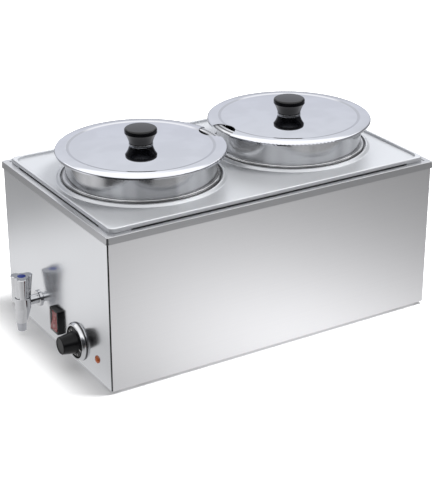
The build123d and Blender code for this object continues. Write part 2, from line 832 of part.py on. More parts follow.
with BuildPart() as element_washers:
    with BuildSketch(Plane.XY.offset(tank_floor)):
        with Locations(*leg_places):
            Circle(bushing_flange_radius)
            Circle(bushing_radius + screw_play, mode=Mode.SUBTRACT)
    extrude(amount=element_washer_sheet)
write(element_washers, "element_washers")

with BuildPart() as element_nuts:
    with BuildSketch(Plane.XY.offset(tank_under)):
        with Locations(*leg_places):
            RegularPolygon(element_nut_radius, 6)
            Circle(bushing_radius + thread_play, mode=Mode.SUBTRACT)
    extrude(amount=-element_nut_height)
write(element_nuts, "element_nuts")

# Two notched strips that carry the element's runs off the floor
with BuildPart() as element_supports:
    for support_x in (-support_spread / 2, support_spread / 2):
        strip_plane = Plane((casing_x + support_x, casing_y, tank_floor), x_dir=(0, 1, 0), z_dir=(1, 0, 0))
        strip_length = 3 * element_rows + 2 * support_overhang
        with BuildSketch(strip_plane):
            Rectangle(strip_length, element_height, align=(Align.CENTER, Align.MIN))
            with Locations((0, element_height)):
                with GridLocations(element_rows, 0, 4, 1):
                    Circle(element_radius + thread_play, mode=Mode.SUBTRACT)
        extrude(amount=support_sheet)
        with BuildSketch(strip_plane):
            Rectangle(strip_length, support_sheet, align=(Align.CENTER, Align.MIN))
        extrude(amount=support_foot)
write(element_supports, "element_supports")

# Drain: flanged outlet through the tank floor, its nut, and a hose elbow to the tap
tap_middle_y = casing_y + tap_y
with BuildPart() as drain_outlet:
    with BuildSketch(Plane((drain_x, tap_middle_y, tank_under - drain_tail))):
        Circle(pipe_radius)
    extrude(amount=drain_tail + tank_sheet)
    with BuildSketch(Plane((drain_x, tap_middle_y, tank_floor))):
        Circle(drain_flange_radius)
    extrude(amount=drain_flange_height)
    with BuildSketch(Plane((drain_x, tap_middle_y, tank_under - drain_tail))):
        Circle(pipe_bore_radius)
    extrude(amount=drain_tail + tank_sheet + drain_flange_height, mode=Mode.SUBTRACT)
write(drain_outlet, "drain_outlet")

with BuildPart() as drain_nut:
    with BuildSketch(Plane((drain_x, tap_middle_y, tank_under))):
        RegularPolygon(drain_nut_radius, 6)
        Circle(pipe_radius + thread_play, mode=Mode.SUBTRACT)
    extrude(amount=-drain_nut_height)
write(drain_nut, "drain_nut")

with BuildPart() as drain_hose:
    hose_top = tank_under - drain_tail + hose_overlap
    hose_end_x = panel_x + casing_sheet + tap_tail - hose_overlap
    with BuildLine() as hose_path:
        FilletPolyline(
            (drain_x, tap_middle_y, hose_top),
            (drain_x, tap_middle_y, tap_z),
            (hose_end_x, tap_middle_y, tap_z),
            radius=hose_bend,
        )
    with BuildSketch(Plane((drain_x, tap_middle_y, hose_top))):
        Circle(pipe_radius + hose_wall)
        Circle(pipe_radius + thread_play, mode=Mode.SUBTRACT)
    sweep(path=hose_path.wires()[0])
write(drain_hose, "drain_hose")

# Tap body: inlet pipe, upright barrel and a leaning spout, bored right through
tap_height = tap_z - casing_bottom
barrel_bottom = tap_z - barrel_drop
barrel_rise = pipe_radius + barrel_shoulder
barrel_top = tap_z + barrel_rise
tip_top = spout_clearance + spout_tip_height
spout_x = tap_x - spout_lean
with BuildPart() as tap_body:
    with BuildSketch(panel(tap_y, tap_height, -casing_sheet - tap_tail)):
        Circle(pipe_radius)
    extrude(amount=casing_sheet + tap_tail + tap_out)
    with BuildSketch(Plane((tap_x, tap_middle_y, barrel_bottom))):
        Circle(barrel_radius)
    extrude(amount=barrel_drop + barrel_rise)
    chamfer(tap_body.faces().sort_by(Axis.Z)[-1].edges(), barrel_shoulder / 2)
    with BuildSketch(Plane((tap_x, tap_middle_y, barrel_bottom))):
        Circle(barrel_radius)
    with BuildSketch(Plane((spout_x, tap_middle_y, tip_top))):
        Circle(spout_radius)
    loft()
    with BuildSketch(panel(tap_y, tap_height, -casing_sheet - tap_tail)):
        Circle(pipe_bore_radius)
    extrude(amount=casing_sheet + tap_tail + tap_out, mode=Mode.SUBTRACT)
    with BuildSketch(Plane((tap_x, tap_middle_y, barrel_bottom))):
        Circle(barrel_chamber_radius)
    extrude(amount=barrel_drop + barrel_rise, mode=Mode.SUBTRACT)
    with BuildSketch(Plane((spout_x, tap_middle_y, tip_top))):
        Circle(spout_bore_radius)
    extrude(amount=barrel_bottom - tip_top, mode=Mode.SUBTRACT)
write(tap_body, "tap_body")

with BuildPart() as spout_tip:
    with BuildSketch(Plane((spout_x, tap_middle_y, tip_top))):
        Circle(spout_radius - spout_tip_shoulder)
    with BuildSketch(Plane((spout_x, tap_middle_y, spout_clearance))):
        Circle(spout_tip_radius)
    loft()
    with BuildSketch(Plane((spout_x, tap_middle_y, spout_clearance))):
        Circle(spout_outlet_radius)
    extrude(amount=spout_tip_height, mode=Mode.SUBTRACT)
write(spout_tip, "spout_tip")

with BuildPart() as tap_flange:
    with BuildSketch(panel(tap_y, tap_height)):
        Circle(tap_flange_radius)
        Circle(pipe_radius + thread_play, mode=Mode.SUBTRACT)
    extrude(amount=tap_flange_height)
    chamfer(tap_flange.faces().sort_by(Axis.X)[0].outer_wire().edges(), 1.2)
write(tap_flange, "tap_flange")

with BuildPart() as tap_washer:
    with BuildSketch(panel(tap_y, tap_height, -casing_sheet)):
        Circle(tap_nut_radius)
        Circle(pipe_radius + screw_play, mode=Mode.SUBTRACT)
    extrude(amount=-tap_washer_sheet)
write(tap_washer, "tap_washer")

with BuildPart() as tap_lock_nut:
    with BuildSketch(panel(tap_y, tap_height, -casing_sheet - tap_washer_sheet)):
        RegularPolygon(tap_nut_radius, 6)
        Circle(pipe_radius + thread_play, mode=Mode.SUBTRACT)
    extrude(amount=-tap_nut_height)
write(tap_lock_nut, "tap_lock_nut")

# Bonnet screwed into the barrel, guiding the spindle
bonnet_top = barrel_top + bonnet_height
with BuildPart() as tap_bonnet:
    with BuildSketch(Plane((tap_x, tap_middle_y, barrel_top))):
        Circle(bonnet_radius)
    extrude(amount=bonnet_height)
    with BuildSketch(Plane((tap_x, tap_middle_y, barrel_top))):
        Circle(barrel_chamber_radius - thread_play)
    extrude(amount=-barrel_rise / 2)
    with BuildSketch(Plane((tap_x, tap_middle_y, barrel_top - barrel_rise / 2))):
        Circle(spindle_radius + thread_play)
    extrude(amount=barrel_rise / 2 + bonnet_height, mode=Mode.SUBTRACT)
write(tap_bonnet, "tap_bonnet")

# Tap handle: three lobes with hollow flutes between, narrower at its foot
handle_bottom = barrel_top + handle_gap
handle_top = handle_bottom + handle_height
button_floor = handle_top - button_recess
screw_seat = button_floor - handle_screw_head_height - hole_play
socket_top = screw_seat - handle_web
handle_sections = (
    (handle_bottom, handle_core_foot_radius, lobe_foot_offset, lobe_foot_radius),
    (handle_top, handle_core_radius, lobe_offset, lobe_radius),
)
with BuildPart() as tap_handle:
    for section_height, core_radius, section_offset, section_radius in handle_sections:
        with BuildSketch(Plane((tap_x, tap_middle_y, section_height))) as outline:
            Circle(core_radius)
            with PolarLocations(section_offset, handle_lobes, start_angle=handle_turn):
                Circle(section_radius)
            fillet(outline.vertices(), flute_radius)
    loft()
    chamfer(tap_handle.faces().sort_by(Axis.Z)[-1].edges(), handle_edge)
    with BuildSketch(Plane((tap_x, tap_middle_y, handle_bottom))):
        Circle(bonnet_radius + handle_skirt_play)
    extrude(amount=bonnet_height - handle_gap + handle_skirt_play, mode=Mode.SUBTRACT)
    with BuildSketch(Plane((tap_x, tap_middle_y, handle_bottom))):
        Circle(spindle_radius + thread_play)
    extrude(amount=socket_top - handle_bottom, mode=Mode.SUBTRACT)
    with BuildSketch(Plane((tap_x, tap_middle_y, socket_top))):
        Circle(handle_screw_radius + screw_play)
    extrude(amount=handle_web, mode=Mode.SUBTRACT)
    with BuildSketch(Plane((tap_x, tap_middle_y, screw_seat))):
        Circle(handle_screw_head_radius + hole_play)
    extrude(amount=button_floor - screw_seat, mode=Mode.SUBTRACT)
    with BuildSketch(Plane((tap_x, tap_middle_y, button_floor))):
        Circle(button_radius + thread_play)
    extrude(amount=button_recess, mode=Mode.SUBTRACT)
write(tap_handle, "tap_handle")

with BuildPart() as tap_spindle:
    spindle_bottom = tap_z - barrel_drop / 2
    with BuildSketch(Plane((tap_x, tap_middle_y, spindle_bottom))):
        Circle(spindle_radius)
    extrude(amount=socket_top - spindle_bottom)
    with BuildSketch(Plane((tap_x, tap_middle_y, socket_top))):
        Circle(handle_screw_radius + thread_play)
    extrude(amount=-handle_screw_length, mode=Mode.SUBTRACT)
write(tap_spindle, "tap_spindle")

with BuildPart() as handle_screw:
    with BuildSketch(Plane((tap_x, tap_middle_y, screw_seat))):
        Circle(handle_screw_head_radius)
    extrude(amount=handle_screw_head_height)
    with BuildSketch(Plane((tap_x, tap_middle_y, screw_seat))):
        Circle(handle_screw_radius)
    extrude(amount=-handle_web - handle_screw_length + 1)
write(handle_screw, "handle_screw")

with BuildPart() as tap_button:
    with BuildSketch(upright(tap_x, tap_middle_y)):
        with BuildLine():
            Polyline(
                (0, handle_top + button_crown),
                (0, button_floor),
                (button_radius, button_floor),
                (button_radius, handle_top),
            )
            RadiusArc(
                (button_radius, handle_top),
                (0, handle_top + button_crown),
                -cap_radius(button_radius, button_crown),
            )
        make_face()
    revolve(axis=vertical(tap_x, tap_middle_y))
write(tap_button, "tap_button")

# Rocker switch: framed housing through the panel, red rocker on two trunnions, clear cover
pivot_out = switch_out - pivot_below_front
rocker_plane = Plane(
    panel_section(switch_y, switch_z, pivot_out).origin,
    x_dir=(-cos(radians(rocker_tilt)), 0, sin(radians(rocker_tilt))),
    z_dir=(0, 1, 0),
)
pocket_width = rocker_width + 2 * rocker_play
pocket_height = rocker_length + 4 * rocker_play
with BuildPart() as switch_housing:
    with BuildSketch(panel(switch_y, switch_z)):
        RectangleRounded(switch_width, switch_height, switch_corner_radius)
    extrude(amount=switch_out, taper=switch_taper)
    with BuildSketch(panel(switch_y, switch_z)):
        Rectangle(switch_body_width, switch_body_height)
    extrude(amount=-casing_sheet - switch_body_depth)
    with BuildSketch(panel(switch_y, switch_z, switch_out)):
        Rectangle(pocket_width, pocket_height)
    extrude(amount=-pocket_depth, mode=Mode.SUBTRACT)
    with BuildSketch(panel_section(switch_y, switch_z, pivot_out)):
        Circle(pivot_radius + thread_play)
    extrude(amount=pocket_width / 2 + pivot_reach, both=True, mode=Mode.SUBTRACT)
write(switch_housing, "switch_housing")

with BuildPart() as switch_rocker:
    with BuildSketch(rocker_plane):
        with BuildLine():
            Polyline(
                (rocker_tip, -rocker_length / 2),
                (rocker_middle, 0),
                (rocker_tip, rocker_length / 2),
                (rocker_tip / 2, rocker_length / 2),
                (-rocker_back, rocker_length / 6),
                (-rocker_back, -rocker_length / 6),
                (rocker_tip / 2, -rocker_length / 2),
                close=True,
            )
        make_face()
    extrude(amount=rocker_width / 2, both=True)
    with BuildSketch(panel_section(switch_y, switch_z, pivot_out)):
        Circle(pivot_radius)
    extrude(amount=pocket_width / 2 + pivot_reach - rocker_play / 2, both=True)
write(switch_rocker, "switch_rocker")

with BuildPart() as switch_cover:
    cover_width = switch_width - 2 * cover_inset
    cover_height = switch_height - 2 * cover_inset
    with BuildSketch(panel(switch_y, switch_z, switch_out)):
        RectangleRounded(cover_width, cover_height, switch_corner_radius)
    extrude(amount=cover_out)
    fillet(switch_cover.faces().sort_by(Axis.X)[0].edges(), cover_round)
    with BuildSketch(panel(switch_y, switch_z, switch_out)):
        RectangleRounded(
            cover_width - 2 * cover_sheet,
            cover_height - 2 * cover_sheet,
            switch_corner_radius - cover_sheet,
        )
    extrude(amount=cover_out - cover_sheet, mode=Mode.SUBTRACT)
write(switch_cover, "switch_cover")

with BuildPart() as switch_terminals:
    with BuildSketch(panel(switch_y, switch_z, -casing_sheet - switch_body_depth)):
        with GridLocations(blade_columns, blade_rows, 2, 2):
            Rectangle(blade_sheet, blade_width)
    extrude(amount=-blade_length)
write(switch_terminals, "switch_terminals")

# Thermostat: chrome bezel dish, knob on its shaft, body on a bracket behind the panel
with BuildPart() as dial_bezel:
    with BuildSketch(panel_section(dial_y, dial_z)):
        with BuildLine():
            FilletPolyline(
                (0, thermostat_bush_radius + hole_play),
                (0, bezel_radius),
                (0.45 * bezel_out, bezel_radius - 0.4),
                (bezel_out, 0.5 * (bezel_radius + bezel_inner_radius) + 0.4),
                (bezel_out, bezel_inner_radius + 0.8),
                (bezel_sheet, bezel_inner_radius),
                (bezel_sheet, thermostat_bush_radius + hole_play),
                radius=[0, 2.0, 0.7, 0.5, 0],
            )
            Line((bezel_sheet, thermostat_bush_radius + hole_play), (0, thermostat_bush_radius + hole_play))
        make_face()
    revolve(axis=panel_axis(dial_y, dial_z))
    with BuildSketch(panel(dial_y, dial_z)):
        with GridLocations(thermostat_screw_spread, 0, 2, 1):
            Circle(thermostat_screw_radius + screw_play)
    extrude(amount=bezel_sheet, mode=Mode.SUBTRACT)
write(dial_bezel, "dial_bezel")

dial_skirt_radius = bezel_inner_radius - dial_skirt_play
skirt_front = dial_skirt_out + dial_skirt_height
with BuildPart() as thermostat_knob:
    with BuildSketch(panel_section(dial_y, dial_z)):
        with BuildLine():
            FilletPolyline(
                (dial_skirt_out, 0),
                (dial_skirt_out, dial_skirt_radius),
                (skirt_front, dial_skirt_radius - 0.4),
                (skirt_front + 1.2, dial_grip_radius + 1.0),
                (dial_out - 1.0, dial_end_radius),
                (dial_out, dial_end_radius - 1.0),
                (dial_out, dial_end_radius - dial_end_rim),
                (dial_out - dial_end_recess, dial_end_radius - dial_end_rim),
                (dial_out - dial_end_recess, 0),
                radius=[0.3, 0.6, 1.5, 0.6, 0.3, 0, 0],
            )
            Line((dial_out - dial_end_recess, 0), (dial_skirt_out, 0))
        make_face()
    revolve(axis=panel_axis(dial_y, dial_z))
    with BuildSketch(panel(dial_y, dial_z, dial_skirt_out)):
        Circle(shaft_radius + thread_play)
    extrude(amount=shaft_out - dial_skirt_out, mode=Mode.SUBTRACT)
write(thermostat_knob, "thermostat_knob")

with BuildPart() as thermostat_shaft:
    with BuildSketch(panel(dial_y, dial_z, -shaft_in)):
        Circle(shaft_radius)
    extrude(amount=shaft_in + shaft_out)
    with BuildSketch(panel(dial_y, dial_z, dial_skirt_out + 2)):
        with Locations((0, shaft_radius)):
            Rectangle(2 * shaft_radius, shaft_radius)
    extrude(amount=shaft_out - dial_skirt_out, mode=Mode.SUBTRACT)
write(thermostat_shaft, "thermostat_shaft")

bracket_back = casing_sheet + bracket_sheet
with BuildPart() as thermostat_body:
    with BuildSketch(panel(dial_y, dial_z, -casing_sheet)):
        Rectangle(thermostat_screw_spread + bracket_height * 0.7, bracket_height)
        with GridLocations(thermostat_screw_spread, 0, 2, 1):
            Circle(thermostat_screw_radius + thread_play, mode=Mode.SUBTRACT)
    extrude(amount=-bracket_sheet)
    with BuildSketch(panel(dial_y, dial_z, -bracket_back)):
        Circle(thermostat_screw_spread / 2 - thermostat_screw_radius - 2)
    extrude(amount=-bracket_sheet)
    with BuildSketch(panel(dial_y, dial_z, -bracket_back - bracket_sheet)):
        Circle(thermostat_radius)
    extrude(amount=-thermostat_depth)
    with BuildSketch(panel(dial_y, dial_z, -casing_sheet)):
        Circle(thermostat_bush_radius)
    extrude(amount=casing_sheet + bezel_sheet)
    with BuildSketch(panel(dial_y, dial_z, bezel_sheet)):
        Circle(shaft_radius + thread_play)
    extrude(amount=-bezel_sheet - shaft_in - 1, mode=Mode.SUBTRACT)
write(thermostat_body, "thermostat_body")

with BuildPart() as thermostat_screws:
    with BuildSketch(panel(dial_y, dial_z, bezel_sheet)):
        with GridLocations(thermostat_screw_spread, 0, 2, 1):
            Circle(thermostat_screw_head_radius)
    extrude(amount=thermostat_screw_head_height)
    with BuildSketch(panel(dial_y, dial_z, bezel_sheet)):
        with GridLocations(thermostat_screw_spread, 0, 2, 1):
            Circle(thermostat_screw_radius)
    extrude(amount=-bezel_sheet - bracket_back)
write(thermostat_screws, "thermostat_screws")

# Sensing bulb clipped under the tank floor, with its capillary tube to the thermostat
dial_middle_y = casing_y + dial_y
bulb_x = tank_start_x + bulb_inset
bulb_z = tank_under - bulb_radius
with BuildPart() as sensing_bulb:
    with BuildSketch(Plane((bulb_x, dial_middle_y, bulb_z), x_dir=(0, 1, 0), z_dir=(1, 0, 0))):
        Circle(bulb_radius)
    extrude(amount=bulb_length)
    fillet(sensing_bulb.edges().filter_by(GeomType.CIRCLE), 1.5)
write(sensing_bulb, "sensing_bulb")

with BuildPart() as bulb_clip:
    clip_x = bulb_x + bulb_length / 2 - bulb_clip_width / 2
    clip_half = bulb_radius + thread_play + bulb_clip_sheet
    with BuildSketch(Plane((clip_x, dial_middle_y, tank_under), x_dir=(0, 1, 0), z_dir=(1, 0, 0))):
        Rectangle(2 * (clip_half + bulb_clip_ear), bulb_clip_sheet, align=(Align.CENTER, Align.MAX))
        Rectangle(2 * clip_half, bulb_radius, align=(Align.CENTER, Align.MAX))
        with Locations((0, -bulb_radius)):
            Circle(clip_half)
            Circle(bulb_radius + thread_play, mode=Mode.SUBTRACT)
        Rectangle(2 * (clip_half - bulb_clip_sheet), 2 * bulb_radius, mode=Mode.SUBTRACT)
        Rectangle(2 * clip_half, clip_half, align=(Align.CENTER, Align.MIN), mode=Mode.SUBTRACT)
    extrude(amount=bulb_clip_width)
write(bulb_clip, "bulb_clip")

with BuildPart() as capillary_tube:
    capillary_x = panel_x + bracket_back + bracket_sheet + thermostat_depth
    capillary_z = casing_bottom + dial_z + capillary_rise
    with BuildLine() as capillary_path:
        FilletPolyline(
            (capillary_x, dial_middle_y, capillary_z),
            (capillary_x + capillary_lead, dial_middle_y, capillary_z),
            (capillary_x + capillary_lead, dial_middle_y, bulb_z),
            (bulb_x, dial_middle_y, bulb_z),
            radius=capillary_bend,
        )
    with BuildSketch(Plane((capillary_x, dial_middle_y, capillary_z), x_dir=(0, 1, 0), z_dir=(1, 0, 0))):
        Circle(capillary_radius)
    sweep(path=capillary_path.wires()[0])
write(capillary_tube, "capillary_tube")

# Pilot lamp: domed lens on a body through the panel, held by a nut
with BuildPart() as pilot_lens:
    with BuildSketch(panel_section(pilot_y, pilot_z)):
        with BuildLine():
            Polyline((pilot_out, 0), (0, 0), (0, pilot_radius), (pilot_rim, pilot_radius))
            RadiusArc(
                (pilot_rim, pilot_radius),
                (pilot_out, 0),
                cap_radius(pilot_radius, pilot_out - pilot_rim),
            )
        make_face()
    revolve(axis=panel_axis(pilot_y, pilot_z))
write(pilot_lens, "pilot_lens")

with BuildPart() as pilot_body:
    with BuildSketch(panel(pilot_y, pilot_z)):
        Circle(pilot_body_radius)
    extrude(amount=-casing_sheet - pilot_body_depth)
write(pilot_body, "pilot_body")

with BuildPart() as pilot_nut:
    with BuildSketch(panel(pilot_y, pilot_z, -casing_sheet)):
        RegularPolygon(pilot_nut_radius, 6)
        Circle(pilot_body_radius + thread_play, mode=Mode.SUBTRACT)
    extrude(amount=-pilot_nut_height)
write(pilot_nut, "pilot_nut")

# Mains entry: cord gland through the back, its nut, and a terminal block on the base
gland_place = (gland_x, back_y, gland_height)
with BuildPart() as cord_gland:
    with BuildSketch(Plane(gland_place, x_dir=(-1, 0, 0), z_dir=(0, 1, 0))):
        RegularPolygon(gland_flange_radius, 6)
    extrude(amount=gland_flange_height)
    with BuildSketch(Plane(gland_place, x_dir=(0, 1, 0), z_dir=(1, 0, 0))):
        with BuildLine():
            Polyline((gland_out, 0), (0, 0), (0, gland_dome_radius), (0.8 * gland_out, gland_dome_radius - 0.6))
            Polyline(
                (0.8 * gland_out, gland_dome_radius - 0.6), (gland_out, gland_mouth_radius), (gland_out, 0)
            )
        make_face()
    revolve(axis=Axis(gland_place, (0, 1, 0)))
    with BuildSketch(Plane(gland_place, x_dir=(-1, 0, 0), z_dir=(0, 1, 0))):
        Circle(gland_tail_radius)
    extrude(amount=-casing_sheet - gland_tail)
    with BuildSketch(Plane(gland_place, x_dir=(-1, 0, 0), z_dir=(0, 1, 0)).offset(gland_out)):
        Circle(gland_bore_radius)
    extrude(amount=-gland_out - casing_sheet - gland_tail, mode=Mode.SUBTRACT)
write(cord_gland, "cord_gland")

with BuildPart() as gland_nut:
    with BuildSketch(Plane(gland_place, x_dir=(-1, 0, 0), z_dir=(0, 1, 0)).offset(-casing_sheet)):
        RegularPolygon(gland_nut_radius, 6)
        Circle(gland_tail_radius + thread_play, mode=Mode.SUBTRACT)
    extrude(amount=-gland_nut_height)
write(gland_nut, "gland_nut")

block_pitch = block_length / block_ways
block_y = casing_width / 2 - block_back_inset
block_place = (panel_x + block_end_inset, casing_y + block_y, base_top)
with BuildPart() as terminal_block:
    with BuildSketch(Plane(block_place)):
        Rectangle(block_width, block_length)
    extrude(amount=block_height)
    block_side = Plane(block_place, x_dir=(0, 1, 0), z_dir=(1, 0, 0)).offset(-block_width / 2)
    with BuildSketch(block_side):
        with Locations((0, block_height / 2)):
            with GridLocations(block_pitch, 0, block_ways, 1):
                Circle(block_bore_radius)
    extrude(amount=block_width, mode=Mode.SUBTRACT)
write(terminal_block, "terminal_block")

with BuildPart() as block_screws:
    with BuildSketch(Plane(block_place).offset(block_height)):
        with GridLocations(2 * block_screw_row, block_pitch, 2, block_ways):
            Circle(block_screw_radius)
    extrude(amount=block_screw_height)
write(block_screws, "block_screws")

# Wires: mains through the switch and the thermostat to the element, and the pilot lamp's two leads
block_west = block_place[0] - block_width / 2
block_mouth = block_west + wire_seat
block_z = base_top + block_height / 2
way_y = [casing_y + block_y + block_pitch * (way - 1.5) for way in range(4)]
lane_x = panel_x + wire_lane
pilot_lane_x = panel_x + pilot_lane
blade_end_x = panel_x + casing_sheet + switch_body_depth + blade_length
feed_y = casing_y + switch_y + blade_columns / 2
feed_z = casing_bottom + switch_z - blade_rows / 2
load_y = casing_y + switch_y - blade_columns / 2
load_z = casing_bottom + switch_z + blade_rows / 2
thermostat_z = casing_bottom + dial_z - thermostat_radius / 3
thermostat_in_y = dial_middle_y + thermostat_radius / 2
thermostat_out_y = dial_middle_y - thermostat_radius / 2
front_leg_y = casing_y - outer_row
pilot_end_x = panel_x + casing_sheet + pilot_body_depth
pilot_lead_z = casing_bottom + pilot_z
lead_gap = 2 * wire_radius
wire_routes = (
    (
        (block_mouth, way_y[0], block_z),
        (lane_x, way_y[0], block_z),
        (lane_x, feed_y, block_z),
        (lane_x, feed_y, feed_z),
        (blade_end_x, feed_y, feed_z),
    ),
    (
        (block_mouth, way_y[2], block_z),
        (leg_x, way_y[2], block_z),
        (leg_x, way_y[2], leg_end),
    ),
    (
        (blade_end_x, load_y, load_z),
        (lane_x, load_y, load_z),
        (lane_x, thermostat_in_y, load_z),
        (lane_x, thermostat_in_y, thermostat_z),
        (capillary_x, thermostat_in_y, thermostat_z),
    ),
    (
        (capillary_x, thermostat_out_y, thermostat_z),
        (lane_x, thermostat_out_y, thermostat_z),
        (lane_x, front_leg_y, thermostat_z),
        (leg_x, front_leg_y, thermostat_z),
        (leg_x, front_leg_y, leg_end),
    ),
    (
        (pilot_end_x, casing_y + pilot_y + lead_gap, pilot_lead_z),
        (leg_x - lead_gap, casing_y + pilot_y + lead_gap, pilot_lead_z),
        (leg_x - lead_gap, front_leg_y - lead_gap, pilot_lead_z),
        (leg_x - lead_gap, front_leg_y - lead_gap, leg_end),
    ),
    (
        (pilot_end_x, casing_y + pilot_y - lead_gap / 2, pilot_lead_z),
        (pilot_lane_x, casing_y + pilot_y - lead_gap / 2, pilot_lead_z),
        (pilot_lane_x, casing_y + pilot_y - lead_gap / 2, block_z),
        (pilot_lane_x, way_y[3], block_z),
        (block_mouth, way_y[3], block_z),
    ),
)
with BuildPart() as internal_wires:
    for route in wire_routes:
        with BuildLine() as wire_path:
            FilletPolyline(*route, radius=wire_bend)
        with BuildSketch(Plane(route[0], z_dir=Vector(route[1]) - Vector(route[0]))):
            Circle(wire_radius)
        sweep(path=wire_path.wires()[0])
write(internal_wires, "internal_wires")
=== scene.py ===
"""Looks of the two-pot soup warmer: finishes, printed marks, screw recesses and a plain studio.

Metres, +Z up, in the frame of the solids. The long front faces -Y and the control end faces -X.
"""

import json
from math import cos, pi, radians, sin

import bmesh
import bpy
from bpy.props import FloatProperty, FloatVectorProperty, IntProperty, PointerProperty
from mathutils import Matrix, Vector


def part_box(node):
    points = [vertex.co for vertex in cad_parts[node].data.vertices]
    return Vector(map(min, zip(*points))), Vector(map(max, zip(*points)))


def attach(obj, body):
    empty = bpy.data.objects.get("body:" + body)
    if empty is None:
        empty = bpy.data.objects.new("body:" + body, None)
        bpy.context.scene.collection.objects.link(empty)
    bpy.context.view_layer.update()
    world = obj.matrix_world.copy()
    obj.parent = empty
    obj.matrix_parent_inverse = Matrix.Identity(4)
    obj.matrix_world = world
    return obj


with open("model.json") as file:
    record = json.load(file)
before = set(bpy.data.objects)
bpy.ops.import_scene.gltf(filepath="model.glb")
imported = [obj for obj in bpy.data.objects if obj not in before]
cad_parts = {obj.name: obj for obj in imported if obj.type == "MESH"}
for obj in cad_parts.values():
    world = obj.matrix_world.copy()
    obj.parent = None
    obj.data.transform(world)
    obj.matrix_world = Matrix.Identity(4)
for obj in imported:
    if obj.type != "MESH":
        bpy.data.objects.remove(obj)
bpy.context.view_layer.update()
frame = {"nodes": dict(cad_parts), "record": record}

bl_info = {
    "name": "Soup warmer",
    "version": (1, 0, 0),
    "blender": (4, 5, 0),
    "location": "View3D > Sidebar > Soup warmer",
    "description": "Finishes the pieces of a two-pot soup warmer and sets a plain studio round it",
    "category": "Object",
}

POT_NODES = ("pot_left", "pot_right")

# Relief of the finishes, in metres
SKIN_RELIEF = 0.0002
PLATING_RELIEF = 0.0004
COAT_ROUGHNESS = 0.05

# Painted shade in the seam grooves along the folded sides of a panel: where the shade ends and is full, and
# its tone
SEAM_INSIDE = 0.0024
SEAM_EDGE = 0.0006
SEAM_SHADE_TONE = 0.10

# Upright draw marks on spun sheet: marks per metre on each axis, and the noise levels that they span
DRAW_MARKS = (30.0, 30.0, 2.0)
DRAW_SPAN = (0.34, 0.66)
# Painted shade in a crease: the share of its half width below is fully dark
CREASE_CORE = 0.4  # share of a crease's half width that is fully dark

# Radii on the bezel between which its plating begins, and between which it gives way to painted shade where
# the ring meets the panel
BEZEL_BEGINS = (0.0249, 0.0253)
BEZEL_SHADE_EDGE = (0.0297, 0.0299)

# Marks: share of a mark's height taken by its broken edge, and share of the rocker to each mark
MARK_EDGE = 0.6
ROCKER_REACH = 0.28
RING_CORNERS = 32
SKIRT_REACH = 0.006  # from the ticks' inner end to the skirt's rim, at most
SLOPE_STEP = 0.0005  # up and down from a mark, to find how its face slopes

# Cross recesses of the screws under the base, drawn as thin dark bars of painted shade
RECESS_LENGTHS = {"base_screws": 0.0036, "foot_screws": 0.0046}
RECESS_WIDTH = 0.0008
RECESS_HEIGHT = 0.0002
RECESS_EDGE = 0.00005
SAME_PLACE = 1e-6

# Floor: its size, how far the shadow reaches, and the tint of the light that it throws into the metal
FLOOR_SIZE = 14.0
SHADOW_REACH = 0.10
POOL_BLUE = 1.01

# Pools of light that the metal mirrors in the floor, before and behind the warmer and at its ends
LONG_POOL = {"centre": (0.06, 0.244), "reach": (0.355, 0.449), "steepness": 1.0, "peak": 1.14, "rest": 0.16}
END_POOL = {"centre": (0.40, 0.213), "reach": (1.50, 0.257), "steepness": 2.0, "peak": 0.60, "rest": 0.33}

# Shade in those pools: at the foot of the ends, and beyond the near corner of the control end
FOOT_LIGHT = 0.62
FOOT_REACH = 0.07
CORNER_ALONG = (0.27, 0.37)
CORNER_ACROSS = (0.06, 0.20)
CORNER_DEPTH = 0.85

# What the metal mirrors above the floor, from the horizon to overhead
BACK_WALL = (
    (0.00, (0.48, 0.49, 0.52)),
    (0.20, (0.79, 0.81, 0.88)),
    (0.40, (0.86, 0.88, 0.93)),
    (0.515, (0.91, 0.93, 0.97)),
    (0.55, (1.48, 1.48, 1.50)),
    (0.66, (1.62, 1.62, 1.62)),
    (0.80, (1.40, 1.40, 1.40)),
    (1.00, (1.25, 1.25, 1.25)),
)
CEILING = (0.28, 0.66)  # heights over which dark walls turn into the bright ceiling

# Dark walls that the metal mirrors: the way they lie, where they begin and are full, and how dark they are
DARK_WALLS = (
    {"heading": (-0.52, -0.85), "begins": -0.15, "full": 0.55, "depth": 0.78},
    {"heading": (0.75, -0.66), "begins": -0.05, "full": 0.60, "depth": 0.75},
    {"heading": (-1.0, 0.0), "begins": 0.12, "full": 0.60, "depth": 0.55},
)

# Soft lamps
KEY_LAMP = {"place": (1.62, -0.63, 3.52), "target": (0.0, 0.0, 0.1), "size": 1.44}
TOP_LAMP = {"place": (0.3, 0.4, 2.0), "target": (0.05, 0.0, 0.2), "size": 1.6}

SENSOR_WIDTH = 36.0  # millimetres
BLACK = (0.0, 0.0, 0.0)
WHITE = (1.0, 1.0, 1.0)


def middle(node):
    """Middle of a node's box."""
    low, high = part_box(node)
    return (low + high) / 2


def colour_of(name, default, description):
    """A colour that a user may change."""
    return FloatVectorProperty(
        name=name, description=description, default=default, size=3, min=0.0, max=1.0, subtype="COLOR"
    )


def length_of(name, default, description):
    """A length that a user may change."""
    return FloatProperty(name=name, description=description, default=default, min=0.0, unit="LENGTH")


def share_of(name, default, description):
    """A number from 0 to 1 that a user may change."""
    return FloatProperty(
        name=name, description=description, default=default, min=0.0, max=1.0, subtype="FACTOR"
    )


def angle_of(name, degrees, description):
    """An angle that a user may change."""
    return FloatProperty(name=name, description=description, default=radians(degrees), subtype="ANGLE")


def power_of(name, default, description):
    """A lamp's power that a user may change."""
    return FloatProperty(name=name, description=description, default=default, min=0.0, unit="POWER")


def strength_of(name, default, description):
    """A strength of light that a user may change."""
    return FloatProperty(name=name, description=description, default=default, min=0.0)


